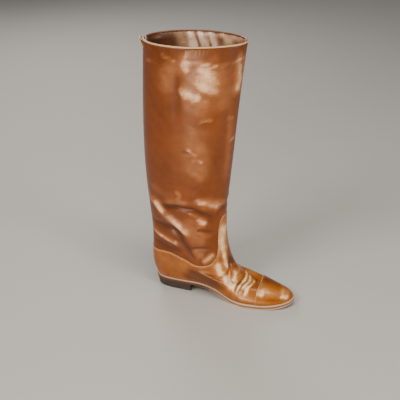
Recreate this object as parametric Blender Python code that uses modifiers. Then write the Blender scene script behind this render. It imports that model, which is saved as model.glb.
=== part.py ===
"""A tall pull-on leather riding boot for the left foot, standing empty on its heel and forepart.

The frame: metres, +X towards the toe, +Y towards the outer (lateral) side, +Z up.
The origin is on the floor, at the middle of the heel's ground face.
"""

import math
from typing import NamedTuple

import bmesh
import bpy
import numpy as np
from mathutils import Matrix, Vector

# Driving sizes of the last and the shaft
FOOT_LENGTH = 0.270
BALL_WIDTH = 0.097
ANKLE_HEIGHT = 0.152
SHAFT_HEIGHT = 0.3195
COLLAR_DEPTH = 0.172
COLLAR_WIDTH = 0.104
COLLAR_RISE = 0.006
TOE_SWING = 0.004

# Bottom: heel, outsole, welt and insole
HEEL_HEIGHT = 0.016
HEEL_LENGTH = 0.074
HEEL_TAPER = 0.0030
HEEL_STEP = 0.0008
TOP_PIECE_THICKNESS = 0.0055
HEEL_LIFTS = 3
EDGE_CHAMFER = 0.0008
OUTSOLE_THICKNESS = 0.005
WELT_THICKNESS = 0.003
INSOLE_THICKNESS = 0.0045
TOE_SPRING = 0.0095
WELT_MARGIN_TOE = 0.0056
WELT_MARGIN_WAIST = 0.0030
WELT_MARGIN_HEEL = 0.0022

# Leathers
UPPER_WALL = 0.0022
VAMP_THICKNESS = 0.0009
CAP_THICKNESS = 0.0009
CAP_LENGTH = 0.067
CAP_LEAN = -0.03
BINDING_RADIUS = 0.0015

# Back zip
ZIP_GAP = 0.0036
ZIP_MOUTH = 0.0056
ZIP_TAPE_WIDTH = 0.0130
ZIP_TAPE_THICKNESS = 0.0008
CHAIN_WIDTH = 0.0058
CHAIN_THICKNESS = 0.0022
SLIDER_DROP = 0.0165
SLIDER_WIDTH = 0.0085
SLIDER_LENGTH = 0.0110
SLIDER_THICKNESS = 0.0013
SLIDER_CORNER = 0.0028
BRIDGE_RADIUS = 0.0031
BRIDGE_WIRE = 0.0006
BRIDGE_SINK = 0.0002
PIVOT_HEIGHT = 0.0013
PULL_LENGTH = 0.0180
PULL_WIDTH = 0.0080
PULL_THICKNESS = 0.0012
PULL_NECK = 0.0044
PULL_WINDOW = 0.0022
PULL_BAR = 0.0013
PULL_EYE = 0.0050
PULL_LEAN = math.radians(13)

# Clearances between pieces
CLEARANCE = 0.0003
TAPE_CLEARANCE = 0.0005
INSOLE_CLEARANCE = 0.0010

# Mesh density
COLUMNS = 48
ROWS_BELOW_SEAM = 14
ROWS_ABOVE_SEAM = 12
FRONT_DENSITY = 0.12

HEEL_BACK_X = -HEEL_LENGTH / 2


class FootLevel(NamedTuple):
    """One ring round the foot. x is a share of FOOT_LENGTH from the heel's back, z of ANKLE_HEIGHT,
    half widths of BALL_WIDTH (_m medial, _l lateral), n the roundness of each end, bed how far the
    ring follows the bend of the sole."""

    front_x: float
    front_z: float
    back_x: float
    back_z: float
    heel_m: float
    heel_l: float
    waist_m: float
    waist_l: float
    ball_m: float
    ball_l: float
    front_n: float
    back_n: float
    bed: float


class ShaftLevel(NamedTuple):
    """One ring round the shaft. height is a share of SHAFT_HEIGHT above the ankle, centre of
    FOOT_LENGTH, depth of COLLAR_DEPTH, width of COLLAR_WIDTH, rise of COLLAR_RISE."""

    height: float
    centre: float
    depth: float
    width: float
    rise: float
    front_n: float
    back_n: float


FOOT = [
    FootLevel(0.968, 0.0, 0.010, 0.0, 0.262, 0.285, 0.242, 0.325, 0.415, 0.455, 2.3, 10.0, 1.0),
    FootLevel(0.962, 0.130, 0.000, 0.230, 0.298, 0.318, 0.299, 0.351, 0.425, 0.465, 2.3, 10.0, 0.95),
    FootLevel(0.928, 0.158, -0.013, 0.309, 0.312, 0.328, 0.340, 0.366, 0.392, 0.415, 2.2, 9.0, 0.75),
    FootLevel(0.815, 0.205, -0.018, 0.408, 0.316, 0.328, 0.361, 0.371, 0.362, 0.360, 2.1, 8.0, 0.45),
    FootLevel(0.652, 0.248, -0.018, 0.526, 0.314, 0.320, 0.366, 0.371, 0.345, 0.340, 2.0, 7.0, 0.2),
    FootLevel(0.566, 0.405, -0.0185, 0.658, 0.309, 0.309, 0.361, 0.361, 0.345, 0.345, 2.1, 5.0, 0.0),
    FootLevel(0.514, 0.645, -0.0185, 0.789, 0.330, 0.330, 0.371, 0.371, 0.361, 0.361, 2.3, 3.5, 0.0),
    FootLevel(0.493, 0.9605, -0.026, 0.980, 0.371, 0.371, 0.397, 0.397, 0.392, 0.392, 2.3, 2.8, 0.0),
]

SHAFT = [
    ShaftLevel(0.130, 0.2305, 0.850, 0.819, 0.35, 2.1, 2.4),
    ShaftLevel(0.344, 0.2355, 0.909, 0.895, 0.55, 1.9, 2.3),
    ShaftLevel(0.640, 0.2515, 0.950, 0.952, 0.65, 1.75, 2.2),
    ShaftLevel(1.000, 0.2830, 0.988, 1.000, 1.00, 1.55, 2.1),
]


class SeamPoint(NamedTuple):
    """A point of the seam between vamp and leg: around is 0 at the back and 0.5 at the front,
    height a share of ANKLE_HEIGHT above the floor."""

    around: float
    height: float


SEAM = [
    SeamPoint(0.000, 0.553),
    SeamPoint(0.077, 0.552),
    SeamPoint(0.168, 0.566),
    SeamPoint(0.227, 0.520),
    SeamPoint(0.264, 0.455),
    SeamPoint(0.283, 0.444),
    SeamPoint(0.300, 0.448),
    SeamPoint(0.327, 0.467),
    SeamPoint(0.358, 0.520),
    SeamPoint(0.388, 0.595),
    SeamPoint(0.408, 0.725),
    SeamPoint(0.420, 0.905),
    SeamPoint(0.434, 1.050),
    SeamPoint(0.459, 1.108),
    SeamPoint(0.500, 1.118),
]

# Below this level the layers of the upper are stacked sideways only, to stand on the welt
FEATHER_LEVEL = 0.35
# How far, in levels, the tapes stop below the collar
TAPE_STOP = 0.1
# Points of the heel's curve closer than this to the breast would only make slivers
BREAST_FACET = 0.004
# Where the sole leaves the heel seat, and where its flat tread starts and ends, as shares of FOOT_LENGTH
SEAT_SHARE, TREAD_START_SHARE, TREAD_END_SHARE = 0.31, 0.61, 0.76
# Where the three widths of a foot ring are taken, as shares of its length
HEEL_SHARE, WAIST_SHARE, BALL_SHARE = 0.14, 0.42, 0.70


def smoothstep(t):
    """0 below 0, 1 above 1, and a soft S between."""
    t = np.clip(t, 0.0, 1.0)
    return t * t * (3 - 2 * t)


def spline(values, at):
    """A natural cubic through values at knots 0, 1, 2 and so on."""
    values = np.asarray(values, float)
    count = len(values)
    system = np.eye(count)
    bend = np.zeros(count)
    for i in range(1, count - 1):
        system[i, i - 1 : i + 2] = 1, 4, 1
        bend[i] = 6 * (values[i - 1] - 2 * values[i] + values[i + 1])
    bend = np.linalg.solve(system, bend)
    i = np.clip(np.floor(at).astype(int), 0, count - 2)
    t = at - i
    return (
        (1 - t) * values[i]
        + t * values[i + 1]
        + ((1 - t) ** 3 - (1 - t)) * bend[i] / 6
        + (t**3 - t) * bend[i + 1] / 6
    )


def monotone(knots, values, at):
    """A smooth curve through the knots that never swings past them."""
    knots, values = np.asarray(knots, float), np.asarray(values, float)
    step, rise = np.diff(knots), np.diff(values)
    slope = rise / step
    tangent = np.zeros(len(knots))
    same = slope[:-1] * slope[1:] > 0
    tangent[1:-1][same] = 2 * slope[:-1][same] * slope[1:][same] / (slope[:-1][same] + slope[1:][same])
    i = np.clip(np.searchsorted(knots, at, side="right") - 1, 0, len(knots) - 2)
    t = np.clip((at - knots[i]) / step[i], 0, 1)
    return (
        values[i] * (1 + 2 * t) * (1 - t) ** 2
        + tangent[i] * step[i] * t * (1 - t) ** 2
        + values[i + 1] * t * t * (3 - 2 * t)
        + tangent[i + 1] * step[i] * t * t * (t - 1)
    )


def underside(x):
    """Height of the outsole's lower face at x."""
    share = (x - HEEL_BACK_X) / FOOT_LENGTH
    arch = HEEL_HEIGHT * (1 - smoothstep((share - SEAT_SHARE) / (TREAD_START_SHARE - SEAT_SHARE)))
    spring = TOE_SPRING * np.clip((share - TREAD_END_SHARE) / (1 - TREAD_END_SHARE), 0, None) ** 2
    return arch + spring


def outsole_top(x):
    """Height of the outsole's upper face at x."""
    return underside(x) + OUTSOLE_THICKNESS


def bed(x):
    """Height of the line where the upper stands on the welt."""
    return outsole_top(x) + CLEARANCE + WELT_THICKNESS + CLEARANCE


def centre_line(x):
    """Sideways swing of the last's centre line: none at the heel, inwards at the toe."""
    share = (x - HEEL_BACK_X) / FOOT_LENGTH
    return -TOE_SWING * smoothstep((share - SEAT_SHARE) / (1 - SEAT_SHARE)) ** 2


def levels():
    """All rings, foot then shaft, as one array of metres with the columns of FootLevel."""
    rows = []
    for row in FOOT:
        lengths = [HEEL_BACK_X + row.front_x * FOOT_LENGTH, row.front_z * ANKLE_HEIGHT]
        lengths += [HEEL_BACK_X + row.back_x * FOOT_LENGTH, row.back_z * ANKLE_HEIGHT]
        lengths += [width * BALL_WIDTH for width in row[4:10]]
        rows.append([*lengths, row.front_n, row.back_n, row.bed])
    rows[0][1] = bed(rows[0][0])
    rows[0][3] = bed(rows[0][2])
    for row in SHAFT:
        middle = HEEL_BACK_X + row.centre * FOOT_LENGTH
        z = ANKLE_HEIGHT + row.height * SHAFT_HEIGHT
        rise = row.rise * COLLAR_RISE
        ends = [middle + row.depth * COLLAR_DEPTH / 2, z + rise, middle - row.depth * COLLAR_DEPTH / 2, z]
        rows.append([*ends, *[row.width * COLLAR_WIDTH / 2] * 6, row.front_n, row.back_n, 0.0])
    return np.array(rows)


LEVELS = levels()
TOP_LEVEL = len(LEVELS) - 1


def side_width(share, heel, waist, ball):
    """Half width at a share of a ring's length, before its ends are rounded."""
    to_waist = smoothstep((share - HEEL_SHARE) / (WAIST_SHARE - HEEL_SHARE))
    to_ball = smoothstep((share - WAIST_SHARE) / (BALL_SHARE - WAIST_SHARE))
    return heel + (waist - heel) * to_waist + (ball - waist) * to_ball


def surface(around, level, grow=0.0):
    """The outer face of the upper. around runs 0 at the back, 0.25 medial, 0.5 front, 0.75 lateral;
    level counts the rings from 0 at the welt. grow widens the ring outwards in its own plane."""
    column = [spline(LEVELS[:, i], level) for i in range(LEVELS.shape[1])]
    front_x, front_z, back_x, back_z = column[0] + grow, column[1], column[2] - grow, column[3]
    medial = around < 0.5
    share = (1 - math.cos(2 * math.pi * around)) / 2
    heel, waist, ball = column[4:10:2] if medial else column[5:10:2]
    n = column[10] if share > 0.5 else column[11]
    half = side_width(share, heel, waist, ball) + grow
    half *= math.sqrt(max(0.0, 1 - abs(2 * share - 1) ** n))
    x = back_x + share * (front_x - back_x)
    straight = bed(back_x) + share * (bed(front_x) - bed(back_x))
    z = back_z + share * (front_z - back_z) + column[12] * (bed(x) - straight)
    return Vector((x, centre_line(x) + (-half if medial else half), z))


def normal(around, level):
    """Outward unit normal of the upper's face, from nearby points, level along the welt."""
    step = 1e-3
    inside = min(max(level, 0.02), TOP_LEVEL - 0.02)
    beside = around if abs(around - 0.5) > step else 0.5 - 2 * step
    beside = min(max(beside, 2 * step), 1 - 2 * step)
    across = surface(beside + step, inside) - surface(beside - step, inside)
    up = surface(beside, inside + 0.01) - surface(beside, inside - 0.01)
    out = across.cross(up).normalized()
    if around in (0.0, 0.5, 1.0):
        out.y = 0.0
    out.z *= smoothstep(level / FEATHER_LEVEL)
    return out.normalized()


def raised(around, level, height):
    """A point height above the upper's outer face, or below it where height is negative."""
    start = surface(around, level)
    point = start + normal(around, level) * height
    point.z += (1 - smoothstep(level / FEATHER_LEVEL)) * (bed(point.x) - bed(start.x))
    return point


def level_at(around, z):
    """The level where the upper's face reaches height z."""
    low, high = 0.0, float(TOP_LEVEL)
    for _ in range(40):
        middle = (low + high) / 2
        if surface(around, middle).z < z:
            low = middle
        else:
            high = middle
    return (low + high) / 2


def seam_level(around):
    """Level of the seam between vamp and leg."""
    knots = [point.around for point in SEAM]
    heights = [point.height * ANKLE_HEIGHT for point in SEAM]
    return level_at(around, float(monotone(knots, heights, min(around, 1 - around))))


def around_at_side(level, distance):
    """How far round the back the face lies at this distance from the centre plane."""
    probe = 0.01
    return probe * distance / abs(surface(probe, level).y - surface(0.0, level).y)


def column_places():
    """around for each column of the shell, closer together at the front."""
    even = np.linspace(0, 1, COLUMNS + 1)
    return even + FRONT_DENSITY * np.sin(2 * np.pi * even) / (2 * np.pi)


PLACES = column_places()
SEAM_LEVELS = [seam_level(float(place)) for place in PLACES]
BACK_ROWS = np.linspace(SEAM_LEVELS[0], TOP_LEVEL, ROWS_ABOVE_SEAM + 1)
ZIP_FOOT, ZIP_OPEN, MOUTH_LEVEL = BACK_ROWS[1], BACK_ROWS[2], BACK_ROWS[-2]


def slit(level):
    """Half width of the zip's slit at this level: none below its foot, wider at the mouth."""
    opened = np.clip((level - ZIP_FOOT) / (ZIP_OPEN - ZIP_FOOT), 0, 1)
    mouth = smoothstep((level - MOUTH_LEVEL) / (TOP_LEVEL - MOUTH_LEVEL))
    return opened * (ZIP_GAP + (ZIP_MOUTH - ZIP_GAP) * mouth)


def shell_point(column, row, height=0.0):
    """A grid point of the upper: rows 0 to ROWS_BELOW_SEAM reach the seam, the rest the collar."""
    around, seam = float(PLACES[column]), SEAM_LEVELS[column]
    if row <= ROWS_BELOW_SEAM:
        level = seam * row / ROWS_BELOW_SEAM
    else:
        level = seam + (TOP_LEVEL - seam) * (row - ROWS_BELOW_SEAM) / ROWS_ABOVE_SEAM
    half_gap = float(slit(level))
    if column in (0, COLUMNS) and half_gap > 0:
        edge = around_at_side(level, half_gap)
        around = edge if column == 0 else 1 - edge
    return raised(around, level, height)


def gridded(columns, rows, place, fold=math.inf):
    """A bmesh grid whose corner (i, j) lies at place(i, j), with coincident points merged.

    The squares are split along mirrored diagonals in the two halves, and the other way past row
    fold, where a sheet turns back over itself, so that stacked layers keep parallel faces.
    """
    mesh = bmesh.new()
    bmesh.ops.create_grid(mesh, x_segments=columns, y_segments=rows, size=1.0)
    corner = {}
    for vertex in mesh.verts:
        i = round((vertex.co.x + 1) / 2 * columns)
        j = round((vertex.co.y + 1) / 2 * rows)
        corner[vertex] = (i, j)
        vertex.co = place(i, j)
    for face in list(mesh.faces):
        first_column = min(corner[vertex][0] for vertex in face.verts)
        first_row = min(corner[vertex][1] for vertex in face.verts)
        slant = 1 if (first_column < columns / 2) == (first_row >= fold) else -1
        order = sorted(face.verts, key=lambda vertex: corner[vertex][0] + slant * corner[vertex][1])
        bmesh.utils.face_split(face, order[0], order[-1])
    bmesh.ops.remove_doubles(mesh, verts=mesh.verts, dist=1e-6)
    bmesh.ops.dissolve_degenerate(mesh, edges=mesh.edges, dist=1e-7)
    return mesh


def lofted(rings):
    """A closed solid through rings of equally many points, with flat ends."""
    count = len(rings[0])
    mesh = gridded(count, len(rings) - 1, lambda i, j: rings[j][i % count])
    open_edges = [edge for edge in mesh.edges if edge.is_boundary]
    bmesh.ops.holes_fill(mesh, edges=open_edges, sides=0)
    bmesh.ops.recalc_face_normals(mesh, faces=mesh.faces)
    return mesh


def material(name, colour, roughness, metallic=0.0):
    """A plain Principled material."""
    made = bpy.data.materials.new(name)
    made.use_nodes = True
    shader = made.node_tree.nodes["Principled BSDF"]
    shader.inputs["Base Color"].default_value = (*colour, 1.0)
    shader.inputs["Roughness"].default_value = roughness
    shader.inputs["Metallic"].default_value = metallic
    return made


def added(name, mesh, finish, sharp=math.radians(35)):
    """A new object in the boot's collection, from a bmesh."""
    data = bpy.data.meshes.new(name)
    mesh.to_mesh(data)
    mesh.free()
    data.materials.append(finish)
    data.shade_smooth()
    data.set_sharp_from_angle(angle=sharp)
    made = bpy.data.objects.new(name, data)
    bpy.data.collections["leather_boot"].objects.link(made)
    return made


def walled(made, thickness):
    """Gives an open surface its wall, on the inside."""
    solid = made.modifiers.new("wall", "SOLIDIFY")
    solid.thickness = thickness
    solid.offset = -1.0
    solid.use_even_offset = True
    solid.use_rim = True
    return made


def upper(finish):
    """Foot and shaft as one hollow shell, open at the collar, along the zip and underneath."""
    mesh = gridded(COLUMNS, ROWS_BELOW_SEAM + ROWS_ABOVE_SEAM, shell_point)
    return walled(added("upper", mesh, finish), UPPER_WALL)


def overlay(low, high):
    """A closed layer over the foot up to the seam, between two heights above the upper."""
    last = ROWS_BELOW_SEAM

    def place(i, j):
        if j <= last:
            return shell_point(i, j, low)
        if j <= 2 * last + 1:
            return shell_point(i, 2 * last + 1 - j, high)
        return shell_point(i, 0, low)

    mesh = gridded(COLUMNS, 2 * last + 2, place, fold=last)
    bmesh.ops.recalc_face_normals(mesh, faces=mesh.faces)
    return mesh


def vamp(finish):
    """The foot's outer layer, whose upper edge is the seam with its tongue up the shin."""
    return added("vamp", overlay(CLEARANCE, CLEARANCE + VAMP_THICKNESS), finish)


def toe_cap(finish):
    """The cap over the toe, cut off along a plane that leans with the foot's slope."""
    low = 2 * CLEARANCE + VAMP_THICKNESS
    mesh = overlay(low, low + CAP_THICKNESS)
    edge_x = HEEL_BACK_X + FOOT_LENGTH - CAP_LENGTH
    cut = Vector((edge_x, 0, ANKLE_HEIGHT * FOOT[3].front_z))
    facing = Vector((1, 0, CAP_LEAN)).normalized()
    geometry = [*mesh.verts, *mesh.edges, *mesh.faces]
    bmesh.ops.bisect_plane(
        mesh, geom=geometry, dist=1e-6, plane_co=cut, plane_no=facing, clear_inner=True
    )
    rim = [edge for edge in mesh.edges if edge.is_boundary]
    bmesh.ops.triangle_fill(mesh, edges=rim, use_beauty=True)
    bmesh.ops.recalc_face_normals(mesh, faces=mesh.faces)
    return added("toe_cap", mesh, finish)


def margin(share):
    """How far welt and outsole reach beyond the upper, at a share of the foot's length."""
    to_waist = smoothstep((share - HEEL_SHARE) / (WAIST_SHARE - HEEL_SHARE))
    to_toe = smoothstep((share - WAIST_SHARE) / (BALL_SHARE - WAIST_SHARE))
    heel_side = WELT_MARGIN_HEEL + (WELT_MARGIN_WAIST - WELT_MARGIN_HEEL) * to_waist
    return heel_side + (WELT_MARGIN_TOE - WELT_MARGIN_WAIST) * to_toe


def outline(i, inset=0.0):
    """A point of the sole's edge in plan, moved inwards by inset."""
    around = float(PLACES[i])
    share = (1 - math.cos(2 * math.pi * around)) / 2
    return surface(around, 0.0, float(margin(share)) - inset)


def upper_outline(i, inset):
    """A point of the upper's foot line in plan, moved inwards by inset."""
    return surface(float(PLACES[i]), 0.0, -inset)


def at_height(point, height):
    """The point with its height read from a function of x."""
    return Vector((point.x, point.y, float(height(point.x))))


def slab(edge, top, bottom):
    """A closed plate between two curved faces, with its outline at edge(i, inset)."""

    def place(i, j):
        rings = [
            (0.0, EDGE_CHAMFER, bottom),
            (0.5, EDGE_CHAMFER, bottom),
            (1.0, EDGE_CHAMFER, bottom),
            (1.0, 0.0, lambda x: bottom(x) + EDGE_CHAMFER),
            (1.0, 0.0, lambda x: top(x) - EDGE_CHAMFER),
            (1.0, EDGE_CHAMFER, top),
            (0.5, EDGE_CHAMFER, top),
            (0.0, EDGE_CHAMFER, top),
        ]
        part, inset, height = rings[j]
        point = edge(i, inset)
        y = centre_line(point.x)
        return at_height(Vector((point.x, y + (point.y - y) * part, 0)), height)

    mesh = gridded(COLUMNS, 7, place)
    bmesh.ops.recalc_face_normals(mesh, faces=mesh.faces)
    return mesh


def outsole(finish):
    """The leather sole from heel seat to toe, flat under the ball."""
    return added("outsole", slab(outline, outsole_top, underside), finish)


def insole(finish):
    """The board inside, down on the outsole within the welt."""
    def edge(i, inset):
        return upper_outline(i, UPPER_WALL + INSOLE_CLEARANCE + inset)

    def low(x):
        return outsole_top(x) + CLEARANCE

    return added("insole", slab(edge, lambda x: low(x) + INSOLE_THICKNESS, low), finish)


def welt(finish):
    """The strip all round between upper and outsole."""
    def low(x):
        return outsole_top(x) + CLEARANCE

    def high(x):
        return low(x) + WELT_THICKNESS

    corners = [
        (lambda i: upper_outline(i, UPPER_WALL), low),
        (lambda i: outline(i, 0.0), low),
        (lambda i: outline(i, 0.0), lambda x: high(x) - EDGE_CHAMFER),
        (lambda i: outline(i, EDGE_CHAMFER), high),
        (lambda i: upper_outline(i, UPPER_WALL), high),
    ]
    mesh = gridded(COLUMNS, 5, lambda i, j: at_height(corners[j % 5][0](i), corners[j % 5][1]))
    bmesh.ops.recalc_face_normals(mesh, faces=mesh.faces)
    return added("welt", mesh, finish)


def heel_outline(inset):
    """The heel's plan: the sole's back curve closed by a straight breast."""
    breast = HEEL_BACK_X + HEEL_LENGTH
    points = []
    for i in range(COLUMNS):
        point = outline(i, inset)
        if point.x < breast - BREAST_FACET:
            points.append((i if i <= COLUMNS // 2 else i - COLUMNS, point))
    curve = [point for _, point in sorted(points, key=lambda item: -item[0])]
    corners = [Vector((breast, curve[0].y, 0)), Vector((breast, curve[-1].y, 0))]
    return [corners[0], *curve, corners[1]]


def heel_block(name, finish, low, high, low_inset, high_inset):
    """One layer of the heel between two heights."""
    rings = [
        [Vector((p.x, p.y, low)) for p in heel_outline(low_inset)],
        [Vector((p.x, p.y, high)) for p in heel_outline(high_inset)],
    ]
    return added(name, lofted(rings), finish)


def heel(leather, rubber):
    """The rubber top piece on the floor and the leather lifts above it."""
    def inset(z):
        return HEEL_STEP + HEEL_TAPER * (1 - z / HEEL_HEIGHT)

    heel_block("heel_top_piece", rubber, 0.0, TOP_PIECE_THICKNESS, inset(0.0), inset(TOP_PIECE_THICKNESS))
    each = (HEEL_HEIGHT - TOP_PIECE_THICKNESS) / HEEL_LIFTS
    for lift in range(HEEL_LIFTS):
        low = TOP_PIECE_THICKNESS + each * lift + CLEARANCE
        high = TOP_PIECE_THICKNESS + each * (lift + 1)
        if lift == HEEL_LIFTS - 1:
            high -= CLEARANCE
        heel_block(f"heel_lift_{lift + 1}", leather, low, high, inset(low), inset(high))


def tube(name, points, radius, finish, resolution):
    """A round cord or rod through points, with filled ends."""
    data = bpy.data.curves.new(name, "CURVE")
    data.dimensions = "3D"
    data.bevel_depth = radius
    data.bevel_resolution = resolution
    data.use_fill_caps = True
    line = data.splines.new("POLY")
    line.points.add(len(points) - 1)
    for spot, point in zip(line.points, points):
        spot.co = (*point, 1.0)
    data.materials.append(finish)
    made = bpy.data.objects.new(name, data)
    bpy.data.collections["leather_boot"].objects.link(made)
    return made


def collar_binding(finish):
    """The rolled edge on top of the collar, from one side of the zip round to the other."""
    top = ROWS_BELOW_SEAM + ROWS_ABOVE_SEAM
    lift = Vector((0, 0, CLEARANCE + BINDING_RADIUS))
    points = [shell_point(i, top, -UPPER_WALL / 2) + lift for i in range(COLUMNS + 1)]
    return tube("collar_binding", points, BINDING_RADIUS, finish, 1)


def zip_tapes(finish):
    """The woven tape behind each edge of the slit."""
    stations = [*BACK_ROWS[1:-1], TOP_LEVEL - TAPE_STOP]
    depth = -(UPPER_WALL + TAPE_CLEARANCE)
    spread = [CLEARANCE, ZIP_GAP, (ZIP_GAP + ZIP_TAPE_WIDTH) / 2, ZIP_TAPE_WIDTH]

    def tape(name, side):
        rings = []
        for level in stations:
            places = [around_at_side(level, away) for away in spread]
            places = places if side < 0 else [1 - place for place in places]
            front = [raised(place, level, depth) for place in places]
            behind = [raised(place, level, depth - ZIP_TAPE_THICKNESS) for place in places]
            rings.append([*front, *reversed(behind)])
        return added(name, lofted(rings), finish)

    tape("zip_tape_medial", -1)
    tape("zip_tape_lateral", 1)


def zip_chain(finish):
    """The closed row of teeth, seated on the tapes between the slit's edges."""
    stations = [ZIP_OPEN + TAPE_STOP, *BACK_ROWS[3:-1], TOP_LEVEL - TAPE_STOP]
    half = CHAIN_WIDTH / 2
    low = -(UPPER_WALL + TAPE_CLEARANCE) + CLEARANCE
    rings = []
    for level in stations:
        base, out = surface(0.0, level), normal(0.0, level)
        corners = [(-half, low), (half, low), (half, low + CHAIN_THICKNESS), (-half, low + CHAIN_THICKNESS)]
        rings.append([base + out * height + Vector((0, y, 0)) for y, height in corners])
    return added("zip_chain", lofted(rings), finish)


def slider_frame():
    """Where the slider sits: its place on the back line, the way out and the way up."""
    level = level_at(0.0, surface(0.0, TOP_LEVEL).z - SLIDER_DROP)
    out = normal(0.0, level)
    up = (surface(0.0, level + 0.05) - surface(0.0, level - 0.05)).normalized()
    return surface(0.0, level), out, up


def slider_seat():
    """Height of the slider's plate above the leather: clear of it, and of the teeth."""
    teeth = CHAIN_THICKNESS + CLEARANCE - UPPER_WALL - TAPE_CLEARANCE
    return CLEARANCE + max(0.0, teeth)


def half_ring(major, minor):
    """A half ring of wire over the XY plane, in the XZ plane, with closed ends."""
    mesh = bmesh.new()
    bmesh.ops.create_circle(
        mesh, cap_ends=True, segments=8, radius=minor, matrix=Matrix.Translation((major, 0, 0))
    )
    bmesh.ops.spin(
        mesh,
        geom=[*mesh.verts, *mesh.edges, *mesh.faces],
        cent=(0, 0, 0),
        axis=(0, -1, 0),
        dvec=(0, 0, 0),
        angle=math.pi,
        steps=10,
        use_merge=False,
        use_duplicate=False,
    )
    bmesh.ops.recalc_face_normals(mesh, faces=mesh.faces)
    return mesh


def joined(first, other):
    """Fuses other into first and removes other."""
    union = first.modifiers.new("union", "BOOLEAN")
    union.operation = "UNION"
    union.object = other
    graph = bpy.context.evaluated_depsgraph_get()
    fused = bpy.data.meshes.new_from_object(first.evaluated_get(graph))
    first.modifiers.clear()
    first.data = fused
    bpy.data.objects.remove(other)
    return first


def zip_slider(finish):
    """The slider's plate over the teeth with the bridge that holds its pull."""
    place, out, up = slider_frame()
    turn = Matrix((up, up.cross(out).normalized() * -1, out)).transposed().to_4x4()
    seat = Matrix.Translation(place + out * slider_seat()) @ turn
    plate = bmesh.new()
    size = Matrix.Diagonal((SLIDER_LENGTH, SLIDER_WIDTH, SLIDER_THICKNESS, 1))
    middle = Matrix.Translation((0, 0, SLIDER_THICKNESS / 2))
    bmesh.ops.create_cube(plate, size=1.0, matrix=middle @ size)
    upright = [e for e in plate.edges if abs(e.verts[0].co.z - e.verts[1].co.z) > 1e-6]
    bmesh.ops.bevel(
        plate, geom=upright, offset=SLIDER_CORNER, segments=3, profile=0.5, affect="EDGES", material=-1
    )
    bridge = half_ring(BRIDGE_RADIUS, BRIDGE_WIRE)
    bmesh.ops.translate(bridge, verts=bridge.verts, vec=(0, 0, SLIDER_THICKNESS - BRIDGE_SINK))
    for mesh in (plate, bridge):
        bmesh.ops.transform(mesh, matrix=seat, verts=mesh.verts)
        bmesh.ops.recalc_face_normals(mesh, faces=mesh.faces)
    return joined(added("zip_slider", plate, finish), added("bridge", bridge, finish))


def zip_pull(finish):
    """The flat pull: a bar under the bridge, a window round it, and an oval ring to hold."""
    neck, bar, half = PULL_NECK / 2, PULL_BAR / 2, PULL_WIDTH / 2
    gap = PULL_WINDOW / 2
    window_end = BRIDGE_RADIUS + BRIDGE_WIRE + 2 * CLEARANCE
    grip = PULL_LENGTH - bar - half
    data = bpy.data.curves.new("zip_pull", "CURVE")
    data.dimensions = "2D"
    data.fill_mode = "BOTH"
    data.extrude = PULL_THICKNESS / 2
    head = [(grip + half * math.cos(a), half * math.sin(a)) for a in np.linspace(-2, 2, 13)]
    body = [(-bar, -neck), (window_end, -neck), *head, (window_end, neck), (-bar, neck)]
    window = [(bar, -gap), (window_end, -gap), (window_end, gap), (bar, gap)]
    turns = np.linspace(0, 2 * math.pi, 16)[:-1]
    eye = [(grip + PULL_EYE / 2 * math.cos(a), PULL_EYE / 2 * math.sin(a)) for a in turns]
    for corners in (body, window, eye):
        line = data.splines.new("POLY")
        line.points.add(len(corners) - 1)
        line.use_cyclic_u = True
        for spot, point in zip(line.points, corners):
            spot.co = (point[0], point[1], 0.0, 1.0)
    data.materials.append(finish)
    made = bpy.data.objects.new("zip_pull", data)
    place, out, _ = slider_frame()
    made.location = place + out * (slider_seat() + SLIDER_THICKNESS + PIVOT_HEIGHT)
    along = Vector((-math.sin(PULL_LEAN), 0, math.cos(PULL_LEAN)))
    across = Vector((0, 1, 0))
    made.rotation_euler = Matrix((along, across, along.cross(across))).transposed().to_euler()
    bpy.data.collections["leather_boot"].objects.link(made)
    return made


def main():
    """Clears the scene and builds every piece of the boot."""
    for old in list(bpy.data.objects):
        bpy.data.objects.remove(old)
    boot = bpy.data.collections.new("leather_boot")
    bpy.context.scene.collection.children.link(boot)
    leather = material("brown_leather", (0.30, 0.105, 0.030), 0.28)
    edge = material("edge_leather", (0.42, 0.25, 0.14), 0.55)
    heel_leather = material("heel_leather", (0.075, 0.035, 0.028), 0.40)
    rubber = material("heel_rubber", (0.035, 0.030, 0.030), 0.70)
    lining = material("insole_leather", (0.34, 0.20, 0.12), 0.60)
    tape = material("zip_tape", (0.10, 0.05, 0.03), 0.85)
    brass = material("brass", (0.80, 0.60, 0.30), 0.28, 1.0)
    upper(leather)
    vamp(leather)
    toe_cap(leather)
    collar_binding(leather)
    outsole(edge)
    welt(edge)
    insole(lining)
    heel(heel_leather, rubber)
    zip_tapes(tape)
    zip_chain(brass)
    zip_slider(brass)
    zip_pull(brass)


main()
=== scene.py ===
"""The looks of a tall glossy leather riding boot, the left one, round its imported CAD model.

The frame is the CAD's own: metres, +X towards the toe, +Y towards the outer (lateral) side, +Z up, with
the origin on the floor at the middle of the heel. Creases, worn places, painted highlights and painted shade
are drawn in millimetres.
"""

import logging
import math
from collections.abc import Callable, Sequence
from dataclasses import dataclass, replace
from enum import Enum

import bmesh
import bpy
import numpy as np
from mathutils import Matrix, Vector


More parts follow.
